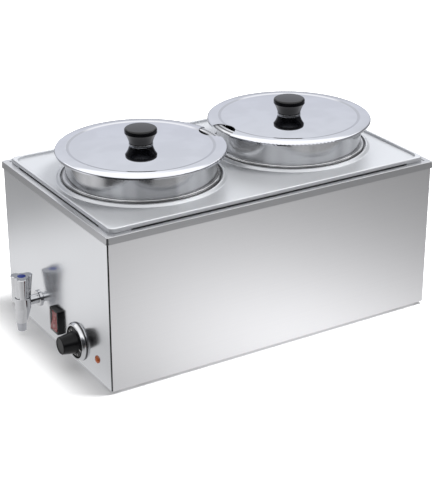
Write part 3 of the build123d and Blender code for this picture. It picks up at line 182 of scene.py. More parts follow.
class WarmerSheets(bpy.types.PropertyGroup):
    """Colours and polish of the sheet metal."""

    casing: colour_of("Casing", (0.74, 0.74, 0.75), "Colour of the satin casing")
    panel: colour_of("Control panel", (0.72, 0.73, 0.75), "Colour of the polished end panel")
    plate: colour_of("Plate", (0.64, 0.655, 0.68), "Colour of the lift-out plate")
    tank: colour_of("Tank", (0.66, 0.665, 0.68), "Colour of the tank and its rim")
    pot: colour_of("Pots", (0.66, 0.665, 0.68), "Colour of the spun pots")
    lid: colour_of("Lids", (0.68, 0.69, 0.73), "Colour of the mirror-polished lids")
    base: colour_of("Base", (0.52, 0.53, 0.54), "Colour of the galvanised base")
    casing_roughness: share_of("Casing roughness", 0.36, "Roughness of the satin casing")
    panel_roughness: share_of("Panel roughness", 0.17, "Roughness of the end panel")
    plate_roughness: share_of("Plate roughness", 0.36, "Roughness of the lift-out plate")
    tank_roughness: share_of("Tank roughness", 0.32, "Roughness of the tank")
    pot_roughness: share_of("Pot roughness", 0.15, "Roughness of the spun pots")
    lid_roughness: share_of("Lid roughness", 0.035, "Roughness of the lids")
    base_roughness: share_of("Base roughness", 0.45, "Roughness of the galvanised base")
    plate_shine: share_of("Plate shine", 0.68, "How fully the plate mirrors the room")
    pot_shine: share_of("Pot shine", 0.84, "How fully the pots mirror the room")
    # Painted shade in the gap where a pot's shoulder meets the plate's collar: its radius, half width and
    # darkness
    pot_crease: length_of("Pot crease", 0.1208, "Radius of the crease in a pot's shoulder")
    pot_crease_width: length_of("Pot crease width", 0.0022, "Half width of the shoulder's crease")
    pot_painted_shade: share_of("Pot crease shade", 0.85, "Darkness of the shoulder's crease")
    # Painted shade along the step in a lid: its radius, half width and darkness
    lid_crease: length_of("Lid crease", 0.1105, "Radius of the step in a lid")
    lid_crease_width: length_of("Lid crease width", 0.0030, "Half width of the lid's step")
    lid_painted_shade: share_of("Lid crease shade", 0.22, "Darkness of the lid's step")


class WarmerFittings(bpy.types.PropertyGroup):
    """Colours of the fittings."""

    knob: colour_of("Lid knobs", (0.003, 0.003, 0.004), "Colour of the moulded lid knobs")
    dial: colour_of("Dial", (0.006, 0.006, 0.007), "Colour of the thermostat knob")
    chrome: colour_of("Chrome", (0.59, 0.595, 0.61), "Colour of the plated tap and bezel")
    button: colour_of("Tap button", (0.006, 0.040, 0.38), "Colour of the button on the tap handle")
    spout: colour_of("Spout tip", (0.46, 0.47, 0.50), "Colour of the spout's tip")
    rocker: colour_of("Rocker", (0.34, 0.010, 0.010), "Colour of the switch rocker")
    frame: colour_of("Switch frame", (0.010, 0.010, 0.011), "Colour of the switch frame")
    cover: colour_of("Switch cover", (0.92, 0.80, 0.80), "Tint of the clear switch cover")
    cover_haze: share_of("Cover haze", 0.08, "How much the clear switch cover hides")
    lens: colour_of("Pilot lens", (0.40, 0.085, 0.015), "Colour of the pilot lamp")
    lens_glow: strength_of("Lens glow", 0.05, "Light that the pilot lamp gives")


class WarmerInside(bpy.types.PropertyGroup):
    """Colours of the feet, the seals, the fasteners and the pieces inside."""

    rubber: colour_of("Feet", (0.022, 0.022, 0.022), "Colour of the rubber feet")
    seal: colour_of("Seals", (0.30, 0.06, 0.04), "Colour of the seals")
    hose: colour_of("Hose", (0.50, 0.51, 0.53), "Colour of the drain hose")
    moulding: colour_of("Mouldings", (0.03, 0.03, 0.032), "Colour of the dark mouldings")
    wire: colour_of("Wires", (0.42, 0.41, 0.39), "Colour of the wires' covering")
    zinc: colour_of("Fasteners", (0.58, 0.59, 0.61), "Colour of the plated fasteners")
    brass: colour_of("Brass", (0.62, 0.44, 0.18), "Colour of the brass fittings")
    copper: colour_of("Copper", (0.60, 0.29, 0.17), "Colour of the copper pieces")
    sheath: colour_of("Element", (0.20, 0.20, 0.21), "Colour of the heating element")
    # Painted shade that stands for the screws' recesses
    recess_shade: colour_of("Screw recesses", (0.05, 0.05, 0.05), "Colour in the screws' recesses")


class WarmerMarks(bpy.types.PropertyGroup):
    """Sizes and colours of the printed marks."""

    ink: colour_of("Dial ink", (0.86, 0.86, 0.85), "Colour of the dial's marks")
    rocker_ink: colour_of("Rocker ink", (0.50, 0.20, 0.18), "Colour of the rocker's marks")
    count: IntProperty(name="Ticks", description="Ticks on the dial", default=8, min=2, max=24)
    first_angle: angle_of("First tick", 113, "Angle of the first tick")
    step_angle: angle_of("Tick step", 27, "Angle between ticks")
    pointer_angle: angle_of("Pointer", -17, "Angle of the pointer dash")
    inner_radius: length_of("Inner radius", 0.0173, "Inner end of the ticks")
    tick_length: length_of("Tick length", 0.0032, "Length of a tick")
    tick_width: length_of("Tick width", 0.0010, "Width of a tick")
    pointer_length: length_of("Pointer length", 0.0048, "Length of the pointer dash")
    pointer_width: length_of("Pointer width", 0.0017, "Width of the pointer dash")
    bar_length: length_of("Bar length", 0.0050, "Length of the rocker's on bar")
    bar_width: length_of("Bar width", 0.0011, "Width of the rocker's on bar")
    ring_radius: length_of("Ring radius", 0.0026, "Outer radius of the rocker's off ring")
    ring_width: length_of("Ring width", 0.0009, "Width of the rocker's off ring")
    thickness: length_of("Thickness", 0.00025, "Height of the marks above their faces")


class WarmerStage(bpy.types.PropertyGroup):
    """Camera, floor and light."""

    camera_place: FloatVectorProperty(
        name="Camera place", description="Where the camera stands", default=(-1.08215, -1.80125, 1.0429),
        size=3, subtype="TRANSLATION", unit="LENGTH",
    )
    camera_heading: angle_of("Camera heading", -31.56, "Turn of the camera about the vertical")
    camera_pitch: angle_of("Camera pitch", 24.14, "Angle at which the camera looks down")
    lens: FloatProperty(name="Lens", description="Focal length in millimetres", default=104.74, min=10.0)
    floor: colour_of("Floor", (0.82, 0.82, 0.83), "Colour of the floor")
    floor_glow: strength_of("Floor glow", 0.12, "Added light of the floor under the warmer")
    fill: strength_of("Fill", 0.42, "Strength of the light from all round")
    key_power: power_of("Key", 188.0, "Power of the key light")
    top_power: power_of("Top", 9.0, "Power of the top light")


class Value:
    """A number that varies over a surface; arithmetic on it adds Math nodes."""

    def __init__(self, tree, socket):
        self.tree = tree
        self.socket = socket

    def math(self, operation, first, second=0.0):
        """The result of one Math node."""
        return self.tree.node("ShaderNodeMath", {"operation": operation}, {0: first, 1: second})

    def __add__(self, other):
        return self.math("ADD", self, other)

    def __sub__(self, other):
        return self.math("SUBTRACT", self, other)

    def __mul__(self, other):
        return self.math("MULTIPLY", self, other)

    def __truediv__(self, other):
        return self.math("DIVIDE", self, other)

    def __pow__(self, other):
        return self.math("POWER", self, other)

    def __rsub__(self, other):
        return self.math("SUBTRACT", other, self)

    def __rtruediv__(self, other):
        return self.math("DIVIDE", other, self)

    __radd__ = __add__
    __rmul__ = __mul__

    def smaller(self, other):
        return self.math("MINIMUM", self, other)

    def larger(self, other):
        return self.math("MAXIMUM", self, other)

    def absolute(self):
        return self.math("ABSOLUTE", self)

    def between(self, low, high):
        """0 below low, 1 above high, smooth between them."""
        return self.tree.node(
            "ShaderNodeMapRange",
            {"interpolation_type": "SMOOTHSTEP"},
            {"Value": self, "From Min": low, "From Max": high},
        )


class Tree:
    """A node tree that is filled by name."""

    def __init__(self, tree):
        self.tree = tree

    def node(self, kind, settings=None, inputs=None, output=0):
        """Add a node, set it up, feed its sockets and give one of its outputs."""
        node = self.tree.nodes.new(kind)
        for name, setting in (settings or {}).items():
            if name == "stops":
                self.set_stops(node.color_ramp, setting)
            else:
                setattr(node, name, setting)
        for name, given in (inputs or {}).items():
            self.feed(node.inputs[name], given)
        return Value(self, node.outputs[output])

    def feed(self, socket, given):
        """Link a varying value to a socket, or set a plain one on it."""
        if isinstance(given, Value):
            self.tree.links.new(given.socket, socket)
        else:
            socket.default_value = given

    @staticmethod
    def set_stops(ramp, stops):
        """Give a colour ramp its stops."""
        while len(ramp.elements) < len(stops):
            ramp.elements.new(1.0)
        for element, (position, colour) in zip(ramp.elements, stops):
            element.position = position
            element.color = (*colour, 1.0)

    def split(self, vector):
        """The three numbers of a vector."""
        node = self.tree.nodes.new("ShaderNodeSeparateXYZ")
        self.feed(node.inputs[0], vector)
        return [Value(self, socket) for socket in node.outputs]

    def join(self, x, y, z):
        """A vector or a colour from three numbers."""
        return self.node("ShaderNodeCombineXYZ", None, {0: x, 1: y, 2: z})

    def mix(self, share, first, second):
        """A colour between two others."""
        ends = [given if isinstance(given, Value) else (*given, 1.0) for given in (first, second)]
        # The colour sockets come after those for numbers and vectors
        sockets = {0: share, 6: ends[0], 7: ends[1]}
        return self.node("ShaderNodeMix", {"data_type": "RGBA"}, sockets, 2)

    def noise(self, vector, scale=1.0, detail=2.0, roughness=0.5):
        """Soft noise with a number of patches per metre."""
        return self.node(
            "ShaderNodeTexNoise",
            None,
            {"Vector": vector, "Scale": scale, "Detail": detail, "Roughness": roughness},
        )

    def ray(self, kind):
        """1 for rays of one kind, such as those from the camera."""
        return self.node("ShaderNodeLightPath", None, None, kind)


class Finish(Tree):
    """One material of the warmer."""

    def __init__(self, name, constants):
        self.material = bpy.data.materials.new(name)
        self.material.use_nodes = True
        super().__init__(self.material.node_tree)
        self.shader = self.tree.nodes["Principled BSDF"]
        for socket, value in constants.items():
            self.set(socket, value)

    def set(self, socket, given):
        """Feed one of the shader's sockets."""
        self.feed(self.shader.inputs[socket], given)

    def place(self):
        """Place on the piece, in metres."""
        return self.node("ShaderNodeTexCoord", None, None, "Object")

    def stretched(self, place, factors):
        """Place with each axis scaled, for grain that runs one way."""
        return self.node("ShaderNodeVectorMath", {"operation": "MULTIPLY"}, {0: place, 1: factors})

    def tones(self, share, colour, darkest, lightest):
        """A colour that wanders between a darker and a lighter tone of itself."""
        return self.mix(share, shade(colour, darkest), shade(colour, lightest))

    def polish(self, roughness, least, patches):
        """Set a roughness that has a least share of its value, and the shares that noises add."""
        uneven = roughness * least
        for noise, share in patches:
            uneven = uneven + roughness * share * noise
        self.set("Roughness", uneven)

    def bump(self, height, strength, distance):
        """Set a relief."""
        self.set("Normal", self.node(
            "ShaderNodeBump", None, {"Height": height, "Strength": strength, "Distance": distance}
        ))

    def wear_on(self, *nodes):
        """Put this finish on nodes of the solids."""
        for node in nodes:
            mesh = frame["nodes"][node].data
            mesh.materials.clear()
            mesh.materials.append(self.material)


def shade(colour, factor):
    """A colour made lighter or darker."""
    return tuple(min(1.0, part * factor) for part in colour)


def diagonal(across, along):
    """Distance from an axis, by the distances on two sides."""
    return (across * across + along * along) ** 0.5


def beyond(place, low, high):
    """Distance outside a span, negative inside it."""
    return (place - (low + high) / 2.0).absolute() - (high - low) / 2.0


def sheet_finish(name, colour, roughness, grain, depth=0.05, smudge=0.10, shaded_bends=None):
    """Rolled or brushed sheet: grain along one way, faint handling marks, and painted shade in the seam
    grooves at folded sides.
    """
    finish = Finish(name, {"Metallic": 1.0})
    place = finish.place()
    lines = finish.noise(finish.stretched(place, grain), detail=3.0, roughness=0.6)
    clouds = finish.noise(place, scale=11.0, detail=3.0, roughness=0.55)
    tone = finish.tones((lines + clouds) / 2.0, colour, darkest=0.95, lightest=1.05)
    # Painted shade in the groove where the long sheets meet the folded sides of the panel
    if shaded_bends:
        low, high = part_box(shaded_bends)
        _, y, _ = finish.split(place)
        seam_shade = beyond(y, low.y, high.y).between(-SEAM_INSIDE, -SEAM_EDGE)
        tone = finish.mix(seam_shade, tone, shade(colour, SEAM_SHADE_TONE))
    finish.set("Base Color", tone)
    finish.polish(roughness, least=1.0 - smudge, patches=((lines, smudge), (clouds, smudge)))
    finish.bump(lines, strength=depth, distance=SKIN_RELIEF)
    return finish


def spun_finish(name, colour, roughness, ring_pitch, depth, upright, streak, crease):
    """Spun or polished round sheet: rings about the pot's axis, upright draw marks and painted shade in a
    crease.
    """
    finish = Finish(name, {"Metallic": 1.0})
    place = finish.place()
    x, y, height = finish.split(place)
    axes = [middle(node) for node in POT_NODES]
    left, right = [diagonal(x - axis.x, y - axis.y) for axis in axes]
    distance = left.smaller(right)
    run = height if upright else distance
    rings = finish.noise(finish.join(run / ring_pitch, 0.0, 0.0), roughness=0.6)
    clouds = finish.noise(finish.stretched(place, DRAW_MARKS), detail=1.0, roughness=0.4)
    clouds = clouds.between(*DRAW_SPAN)
    tone = finish.tones(clouds, colour, darkest=1.0 - streak, lightest=1.03)
    # Painted shade in a ring about the pots' axes, darkest along the crease
    radius, width, shade_darkness = crease
    beside = (distance - radius).absolute().between(width * CREASE_CORE, width)
    finish.set("Base Color", finish.mix(beside, shade(colour, 1.0 - shade_darkness), tone))
    finish.polish(roughness, least=0.8, patches=((rings, 0.25), (clouds, 0.20)))
    finish.bump(rings, strength=depth, distance=SKIN_RELIEF)
    return finish


def moulded_finish(name, colour, roughness, grain_size=0.0006, depth=0.05, coat=0.0, gloss=0.5):
    """Moulded plastic or rubber: a fine skin texture and slightly uneven gloss."""
    finish = Finish(
        name, {"Coat Weight": coat, "Coat Roughness": COAT_ROUGHNESS, "Specular IOR Level": gloss}
    )
    place = finish.place()
    skin = finish.noise(place, scale=1.0 / grain_size)
    clouds = finish.noise(place, scale=60.0, detail=3.0)
    finish.set("Base Color", finish.tones(clouds, colour, darkest=0.85, lightest=1.15))
    finish.polish(roughness, least=0.8, patches=((clouds, 0.4),))
    finish.bump(skin, strength=depth, distance=SKIN_RELIEF)
    return finish


def plate_over(finish, place, roughness):
    """Give a finish the faint ripple and the fine wear of plating."""
    ripple = finish.noise(place, scale=130.0)
    wear = finish.noise(place, scale=900.0, detail=3.0, roughness=0.65)
    finish.polish(roughness, least=0.7, patches=((wear, 0.6),))
    finish.bump(ripple, strength=0.04, distance=PLATING_RELIEF)
    return ripple


def plated_finish(name, colour, roughness):
    """Bright plating all over a piece."""
    finish = Finish(name, {"Metallic": 1.0})
    ripple = plate_over(finish, finish.place(), roughness)
    finish.set("Base Color", finish.tones(ripple, colour, darkest=0.94, lightest=1.04))
    return finish


def bezel_finish(name, colour, inside, roughness):
    """Plating on the bezel's ring, dark in the dish, with painted shade along the edge that meets the panel.
    """
    finish = Finish(name, {})
    place = finish.place()
    plate_over(finish, place, roughness)
    _, y, z = finish.split(place)
    axis = middle("dial_bezel")
    distance = diagonal(y - axis.y, z - axis.z)
    # Dark dish inside, and painted shade along the outer edge where the ring meets the panel
    plated = distance.between(*BEZEL_BEGINS) * (1.0 - distance.between(*BEZEL_SHADE_EDGE))
    finish.set("Base Color", finish.mix(plated, inside, colour))
    finish.set("Metallic", plated)
    return finish


def clear_selection():
    """Leave edit mode and deselect everything."""
    if bpy.context.object and bpy.context.object.mode != "OBJECT":
        bpy.ops.object.mode_set(mode="OBJECT")
    bpy.ops.object.select_all(action="DESELECT")


def bar(place, size, turn, edge, segments=2):
    """A small bar with broken edges, turned about the three axes."""
    clear_selection()
    bpy.ops.mesh.primitive_cube_add(size=1.0, location=place, rotation=turn, scale=size)
    bpy.ops.object.mode_set(mode="EDIT")
    bpy.ops.mesh.select_all(action="SELECT")
    bpy.ops.mesh.bevel(offset=edge, segments=segments, affect="EDGES")
    bpy.ops.object.mode_set(mode="OBJECT")
    return bpy.context.object


def ring(place, radius, width, thickness):
    """A flat ring that lies on the control end."""
    clear_selection()
    bpy.ops.mesh.primitive_circle_add(
        vertices=RING_CORNERS, radius=radius, location=place, rotation=(0.0, pi / 2, 0.0)
    )
    bpy.ops.object.mode_set(mode="EDIT")
    bpy.ops.mesh.select_all(action="SELECT")
    bpy.ops.mesh.edge_face_add()
    bpy.ops.mesh.inset(thickness=width)
    bpy.ops.mesh.delete(type="FACE")
    bpy.ops.object.mode_set(mode="OBJECT")
    piece = bpy.context.object
    thicken = piece.modifiers.new("Thickness", "SOLIDIFY")
    thicken.thickness = thickness
    thicken.offset = 0.0
    bpy.ops.object.modifier_apply(modifier=thicken.name)
    return piece


def joined(pieces, name, finish, body):
    """Join pieces into one that sits at the origin and rides on a body."""
    clear_selection()
    for piece in pieces:
        piece.select_set(True)
    bpy.context.view_layer.objects.active = pieces[0]
    bpy.ops.object.join()
    bpy.ops.object.transform_apply(location=True, rotation=True, scale=True)
    whole = bpy.context.object
    bpy.ops.object.mode_set(mode="EDIT")
    bpy.ops.mesh.select_all(action="SELECT")
    bpy.ops.mesh.normals_make_consistent(inside=False)
    bpy.ops.object.mode_set(mode="OBJECT")
    whole.name = name
    whole.data.name = name
    whole.data.materials.clear()
    whole.data.materials.append(finish.material)
    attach(whole, body)
    return whole


def skirt_face(node, radius):
    """Place along X of the face that a dial shows just outside a distance from its axis."""
    axis = middle(node)
    faces = []
    for corner in frame["nodes"][node].data.vertices:
        distance = Vector((corner.co.y - axis.y, corner.co.z - axis.z)).length
        if radius < distance < radius + SKIRT_REACH:
            faces.append(corner.co.x)
    return min(faces)


def face_at(node, y, z):
    """Place along X and slope of the outward face of a node, seen from the control end."""
    piece = frame["nodes"][node]
    faces = []
    for height in (z - SLOPE_STEP, z, z + SLOPE_STEP):
        found, place, _, _ = piece.ray_cast(Vector((-1.0, y, height)), Vector((1.0, 0.0, 0.0)))
        if not found:
            raise RuntimeError(f"{node} shows no face at y {y:.4f}, z {height:.4f}")
        faces.append(place.x)
    return faces[1], (faces[2] - faces[0]) / (2 * SLOPE_STEP)


def loose_places(node):
    """Lowest middle of each screw of a node."""
    shape = bmesh.new()
    shape.from_mesh(frame["nodes"][node].data)
    bmesh.ops.remove_doubles(shape, verts=shape.verts, dist=SAME_PLACE)
    left = set(shape.verts)
    places = []
    while left:
        island = [left.pop()]
        for corner in island:
            for edge in corner.link_edges:
                other = edge.other_vert(corner)
                if other in left:
                    left.remove(other)
                    island.append(other)
        lows = [min(corner.co[axis] for corner in island) for axis in range(3)]
        highs = [max(corner.co[axis] for corner in island) for axis in range(3)]
        places.append(((lows[0] + highs[0]) / 2, (lows[1] + highs[1]) / 2, lows[2]))
    shape.free()
    return places


def pool(x, y, centre, reach, steepness, peak, rest):
    """A pool of light on the floor that fades with distance from its centre."""
    across = (x - centre[0]) / reach[0]
    along = (y - centre[1]) / reach[1]
    away = across * across + along * along
    return rest + peak / (1.0 + away**steepness)


def lay_floor(stage):
    """A wide pale floor: white to the camera with the warmer's shadow, and lit pools in the metal."""
    clear_selection()
    bpy.ops.mesh.primitive_plane_add(size=FLOOR_SIZE, location=(0.0, 0.0, 0.0))
    floor = bpy.context.object
    floor.name = "floor"
    finish = Finish("Pale floor", {"Roughness": 0.9, "Specular IOR Level": 0.1})
    finish.set("Base Color", (*stage.floor, 1.0))
    x, y, _ = finish.split(finish.place())
    low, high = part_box("casing_sides")
    beside = beyond(x, low.x, high.x)
    before = beyond(y, low.y, high.y)
    foot = FOOT_LIGHT + (1.0 - FOOT_LIGHT) * beside.between(0.0, FOOT_REACH)
    ends = pool(x.absolute(), y, **END_POOL) * foot
    corner = (x * -1.0).between(*CORNER_ALONG) * (y * -1.0).between(*CORNER_ACROSS)
    light = pool(x, y.absolute(), **LONG_POOL).larger(ends) * (1.0 - CORNER_DEPTH * corner)
    plain = Value(finish, finish.shader.outputs[0])
    tint = finish.join(light, light, light * POOL_BLUE)
    mirrored = finish.node("ShaderNodeEmission", None, {"Color": tint})
    away = beside.larger(before).between(0.0, SHADOW_REACH)
    white = stage.floor_glow + away * (1.0 - stage.floor_glow)
    glow = finish.node("ShaderNodeEmission", None, {"Color": finish.join(white, white, white)})
    bright = finish.node("ShaderNodeAddShader", None, {0: plain, 1: glow})
    glossy_ray = finish.ray("Is Glossy Ray")
    camera_ray = finish.ray("Is Camera Ray")
    unseen = finish.node("ShaderNodeMixShader", None, {0: glossy_ray, 1: plain, 2: mirrored})
    shown = finish.node("ShaderNodeMixShader", None, {0: camera_ray, 1: unseen, 2: bright})
    finish.feed(finish.tree.nodes["Material Output"].inputs["Surface"], shown)
    floor.data.materials.append(finish.material)


def light_past(x, y, heading, begins, full, depth):
    """Share of the light that a dark wall leaves in each direction."""
    facing = x * heading[0] + y * heading[1]
    return 1.0 - depth * facing.between(begins, full)


def light_room(scene, stage):
    """Even light from all round, white to the camera, with a bright ceiling and dark walls in the metal."""
    world = bpy.data.worlds.new("Studio")
    scene.world = world
    world.use_nodes = True
    room = Tree(world.node_tree)
    x, y, z = room.split(room.node("ShaderNodeTexCoord", None, None, "Generated"))
    wall = room.node("ShaderNodeValToRGB", {"stops": BACK_WALL}, {0: z})
    front, right, left = [light_past(x, y, **dark) for dark in DARK_WALLS]
    lightness = (front * right * left).larger(z.between(*CEILING))
    studio = room.mix(lightness, BLACK, wall)
    mirrored = room.ray("Is Glossy Ray").larger(room.ray("Is Transmission Ray"))
    lit = room.mix(mirrored, (stage.fill, stage.fill, stage.fill), studio)
    background = world.node_tree.nodes["Background"]
    room.feed(background.inputs["Color"], room.mix(room.ray("Is Camera Ray"), lit, WHITE))
    soft_lamp("key", stage.key_power, **KEY_LAMP)
    soft_lamp("top", stage.top_power, **TOP_LAMP)


def soft_lamp(name, power, place, target, size):
    """A large soft lamp that the metal doesn't mirror."""
    lamp = bpy.data.lights.new(name, "AREA")
    lamp.size = size
    lamp.energy = power
    holder = bpy.data.objects.new(name, lamp)
    bpy.context.scene.collection.objects.link(holder)
    holder.location = place
    holder.rotation_euler = (Vector(target) - Vector(place)).to_track_quat("-Z", "Y").to_euler()
    holder.visible_camera = False
    holder.visible_glossy = False


def set_camera(scene, stage):
    """The camera, which looks down on the front and the control end."""
    camera = bpy.data.cameras.new("camera")
    camera.lens = stage.lens
    camera.sensor_width = SENSOR_WIDTH
    camera.dof.use_dof = False
    holder = bpy.data.objects.new("camera", camera)
    scene.collection.objects.link(holder)
    holder.location = stage.camera_place
    holder.rotation_euler = (pi / 2 - stage.camera_pitch, 0.0, stage.camera_heading)
    scene.camera = holder


class WARMER_OT_sheets(bpy.types.Operator):
    """Finish the casing, the control panel, the tank, the plate and the base"""

    bl_idname = "warmer.sheets"
    bl_label = "Sheet metal"

    def execute(self, context):
        looks = context.scene.warmer_sheets
        casing = sheet_finish("Satin casing", looks.casing, looks.casing_roughness, grain=(3, 3, 900))
        casing.wear_on("casing_sides")
        ends = sheet_finish(
            "Polished panel", looks.panel, looks.panel_roughness, grain=(500, 500, 3), shaded_bends="control_panel"
        )
        ends.wear_on("control_panel", "end_panel")
        plate = sheet_finish("Pressed plate", looks.plate, looks.plate_roughness, grain=(4, 500, 500))
        plate.set("Metallic", looks.plate_shine)
        plate.wear_on("adaptor_plate")
        tank = sheet_finish("Tank sheet", looks.tank, looks.tank_roughness, grain=(5, 400, 400))
        tank.wear_on("water_tank")
        base = sheet_finish(
            "Galvanised base", looks.base, looks.base_roughness, grain=(40, 40, 40), depth=0.15, smudge=0.5
        )
        base.wear_on("base_plate")
        return {"FINISHED"}


class WARMER_OT_pots(bpy.types.Operator):
    """Finish the spun pots"""

    bl_idname = "warmer.pots"
    bl_label = "Pots"

    def execute(self, context):
        looks = context.scene.warmer_sheets
        pot = spun_finish(
            "Spun pot", looks.pot, looks.pot_roughness, ring_pitch=0.0009, depth=0.05, upright=True,
            streak=0.38, crease=(looks.pot_crease, looks.pot_crease_width, looks.pot_painted_shade),
        )
        pot.set("Metallic", looks.pot_shine)
        pot.wear_on(*POT_NODES)
        return {"FINISHED"}


class WARMER_OT_lids(bpy.types.Operator):
    """Finish the lids, their knobs and the rings under the knobs"""

    bl_idname = "warmer.lids"
    bl_label = "Lids"

    def execute(self, context):
        looks = context.scene.warmer_sheets
        colours = context.scene.warmer_fittings
        lid = spun_finish(
            "Mirror lid", looks.lid, looks.lid_roughness, ring_pitch=0.0012, depth=0.008, upright=False,
            streak=0.03, crease=(looks.lid_crease, looks.lid_crease_width, looks.lid_painted_shade),
        )
        lid.wear_on("lid_left", "lid_right")
        knob = moulded_finish(
            "Moulded knob", colours.knob, roughness=0.07, grain_size=0.004, depth=0.006, gloss=0.34
        )
        knob.wear_on("lid_knob_left", "lid_knob_right")
        rings = plated_finish("Ring plating", colours.chrome, roughness=0.06)
        rings.wear_on("knob_ring_left", "knob_ring_right")
        return {"FINISHED"}


class WARMER_OT_tap(bpy.types.Operator):
    """Finish the drain tap"""

    bl_idname = "warmer.tap"
    bl_label = "Drain tap"

    def execute(self, context):
        colours = context.scene.warmer_fittings
        plating = plated_finish("Tap plating", colours.chrome, roughness=0.07)
        plating.wear_on("tap_body", "tap_flange", "tap_handle")
        plated_finish("Spout tip", colours.spout, roughness=0.16).wear_on("spout_tip")
        button = moulded_finish(
            "Tap button", colours.button, roughness=0.15, grain_size=0.003, depth=0.01, gloss=0.2
        )
        button.wear_on("tap_button")
        return {"FINISHED"}


class WARMER_OT_switch(bpy.types.Operator):
    """Finish the rocker switch"""

    bl_idname = "warmer.switch"
    bl_label = "Rocker switch"

    def execute(self, context):
        colours = context.scene.warmer_fittings
        housing = moulded_finish(
            "Switch frame", colours.frame, roughness=0.20, grain_size=0.002, depth=0.01, gloss=0.25
        )
        housing.wear_on("switch_housing")
        rocker = moulded_finish("Rocker", colours.rocker, roughness=0.22, grain_size=0.002, depth=0.02)
        rocker.wear_on("switch_rocker")
        cover = moulded_finish("Clear cover", colours.cover, roughness=0.08, grain_size=0.003, depth=0.01)
        cover.set("Alpha", colours.cover_haze)
        cover.wear_on("switch_cover")
        return {"FINISHED"}


class WARMER_OT_thermostat(bpy.types.Operator):
    """Finish the thermostat's knob and bezel and the pilot lamp"""

    bl_idname = "warmer.thermostat"
    bl_label = "Thermostat and lamp"

    def execute(self, context):
        colours = context.scene.warmer_fittings
        bezel = bezel_finish("Bezel plating", colours.chrome, colours.dial, roughness=0.06)
        bezel.wear_on("dial_bezel")
        moulded_finish("Dial", colours.dial, roughness=0.30, gloss=0.22).wear_on("thermostat_knob")
        lens = moulded_finish(
            "Pilot lens", colours.lens, roughness=0.12, grain_size=0.002, depth=0.02, coat=0.6
        )
        lens.set("Emission Color", (*colours.lens, 1.0))
        lens.set("Emission Strength", colours.lens_glow)
        lens.wear_on("pilot_lens")
        return {"FINISHED"}


class WARMER_OT_inside(bpy.types.Operator):
    """Finish the feet, the seals, the fasteners and the pieces inside"""

    bl_idname = "warmer.inside"
    bl_label = "Feet, fasteners and inside"

    def execute(self, context):
        colours = context.scene.warmer_inside
        nodes = {}
        for row in frame["record"]["subparts"]:
            nodes.setdefault(row["material_slot"], []).append(row["node"])
        rubber = moulded_finish("Rubber", colours.rubber, roughness=0.60, grain_size=0.0008, depth=0.15)
        rubber.wear_on(*nodes["foot_rubber"])
        moulded_finish("Seal", colours.seal, roughness=0.55).wear_on(*nodes["seal_rubber"])
        moulded_finish("Silicone hose", colours.hose, roughness=0.42).wear_on(*nodes["hose_rubber"])
        moulded_finish("Dark mouldings", colours.moulding, roughness=0.40).wear_on(*nodes["body_plastic"])
        moulded_finish("Wire covering", colours.wire, roughness=0.50).wear_on(*nodes["wire_cover"])
        plated_finish("Zinc", colours.zinc, roughness=0.30).wear_on(*nodes["fastener_steel"])
        plated_finish("Brass", colours.brass, roughness=0.24).wear_on(*nodes["fitting_brass"])
        plated_finish("Copper", colours.copper, roughness=0.26).wear_on(*nodes["copper"])
        sheath = sheet_finish(
            "Element sheath", colours.sheath, roughness=0.42, grain=(90, 90, 90), depth=0.1, smudge=0.5
        )
        sheath.wear_on(*nodes["element_steel"])
        return {"FINISHED"}


class WARMER_OT_dial_marks(bpy.types.Operator):
    """Add the ticks and the pointer dash on the thermostat's skirt"""

    bl_idname = "warmer.dial_marks"
    bl_label = "Dial marks"

    def execute(self, context):
        marks = context.scene.warmer_marks
        axis = middle("thermostat_knob")
        face = skirt_face("thermostat_knob", marks.inner_radius)
        rows = [
            (marks.first_angle + marks.step_angle * step, marks.tick_length, marks.tick_width)
            for step in range(marks.count)
        ]
        rows.append((marks.pointer_angle, marks.pointer_length, marks.pointer_width))
        pieces = []
        for angle, length, width in rows:
            out = marks.inner_radius + length / 2
            place = (face, axis.y - out * cos(angle), axis.z + out * sin(angle))
            size = (2 * marks.thickness, length, width)
            pieces.append(bar(place, size, (-angle, 0.0, 0.0), marks.thickness * MARK_EDGE))
        ink = moulded_finish("Printed marks", marks.ink, roughness=0.45)
        joined(pieces, "dial_marks", ink, "thermostat_dial")
        return {"FINISHED"}


class WARMER_OT_rocker_marks(bpy.types.Operator):
    """Add the raised on bar and off ring on the rocker's two halves"""

    bl_idname = "warmer.rocker_marks"
    bl_label = "Rocker marks"

    def execute(self, context):
        marks = context.scene.warmer_marks
        low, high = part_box("switch_rocker")
        y, height = middle("switch_rocker").yz
        reach = ROCKER_REACH * (high.z - low.z)
        thickness = 2 * marks.thickness
        face, slope = face_at("switch_rocker", y, height + reach)
        size = (thickness, marks.bar_width, marks.bar_length)
        on_bar = bar((face, y, height + reach), size, (0.0, 0.0, 0.0), marks.thickness * MARK_EDGE)
        on_bar.rotation_euler.y += slope
        face, slope = face_at("switch_rocker", y, height - reach)
        off_ring = ring((face, y, height - reach), marks.ring_radius, marks.ring_width, thickness)
        off_ring.rotation_euler.y += slope
        ink = moulded_finish("Rocker marks", marks.rocker_ink, roughness=0.45)
        joined([on_bar, off_ring], "rocker_marks", ink, "rocker")
        return {"FINISHED"}


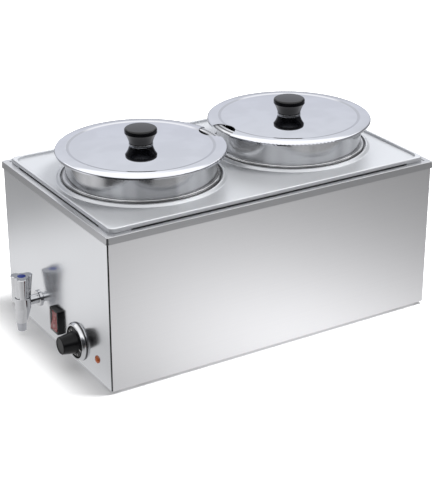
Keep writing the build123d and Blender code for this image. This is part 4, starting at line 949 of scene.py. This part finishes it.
class WARMER_OT_screw_recesses(bpy.types.Operator):
    """Add thin dark bars of painted shade for the cross recesses in the screw heads under the base"""

    bl_idname = "warmer.screw_recesses"
    bl_label = "Screw recesses"

    def execute(self, context):
        dark = moulded_finish("Recess shadow", context.scene.warmer_inside.recess_shade, roughness=0.6)
        for node, length in RECESS_LENGTHS.items():
            size = (length, RECESS_WIDTH, RECESS_HEIGHT)
            pieces = [
                bar(place, size, (0.0, 0.0, turn), RECESS_EDGE, segments=1)
                for place in loose_places(node)
                for turn in (0.0, pi / 2)
            ]
            joined(pieces, f"{node}_recesses", dark, "cabinet")
        return {"FINISHED"}


class WARMER_OT_stage(bpy.types.Operator):
    """Set the floor, the light and the camera"""

    bl_idname = "warmer.stage"
    bl_label = "Stage"

    def execute(self, context):
        stage = context.scene.warmer_stage
        lay_floor(stage)
        light_room(context.scene, stage)
        set_camera(context.scene, stage)
        context.scene.view_settings.view_transform = "Standard"
        return {"FINISHED"}


GROUPS = {
    "warmer_sheets": WarmerSheets,
    "warmer_fittings": WarmerFittings,
    "warmer_inside": WarmerInside,
    "warmer_marks": WarmerMarks,
    "warmer_stage": WarmerStage,
}
OPERATORS = (
    WARMER_OT_sheets,
    WARMER_OT_pots,
    WARMER_OT_lids,
    WARMER_OT_tap,
    WARMER_OT_switch,
    WARMER_OT_thermostat,
    WARMER_OT_inside,
    WARMER_OT_dial_marks,
    WARMER_OT_rocker_marks,
    WARMER_OT_screw_recesses,
    WARMER_OT_stage,
)


class WARMER_PT_panel(bpy.types.Panel):
    """Lists the steps that dress the warmer"""

    bl_idname = "WARMER_PT_panel"
    bl_label = "Soup warmer"
    bl_space_type = "VIEW_3D"
    bl_region_type = "UI"
    bl_category = "Soup warmer"

    def draw(self, context):
        for operator in OPERATORS:
            self.layout.operator(operator.bl_idname)


def register():
    for group in GROUPS.values():
        bpy.utils.register_class(group)
    for operator in OPERATORS:
        bpy.utils.register_class(operator)
    bpy.utils.register_class(WARMER_PT_panel)
    for name, group in GROUPS.items():
        setattr(bpy.types.Scene, name, PointerProperty(type=group))


def unregister():
    for name in GROUPS:
        delattr(bpy.types.Scene, name)
    bpy.utils.unregister_class(WARMER_PT_panel)
    for operator in reversed(OPERATORS):
        bpy.utils.unregister_class(operator)
    for group in reversed(GROUPS.values()):
        bpy.utils.unregister_class(group)


def main():
    """Dress the warmer step by step."""
    register()
    for operator in OPERATORS:
        family, name = operator.bl_idname.split(".")
        getattr(getattr(bpy.ops, family), name)()


if __name__ == "__main__":
    main()
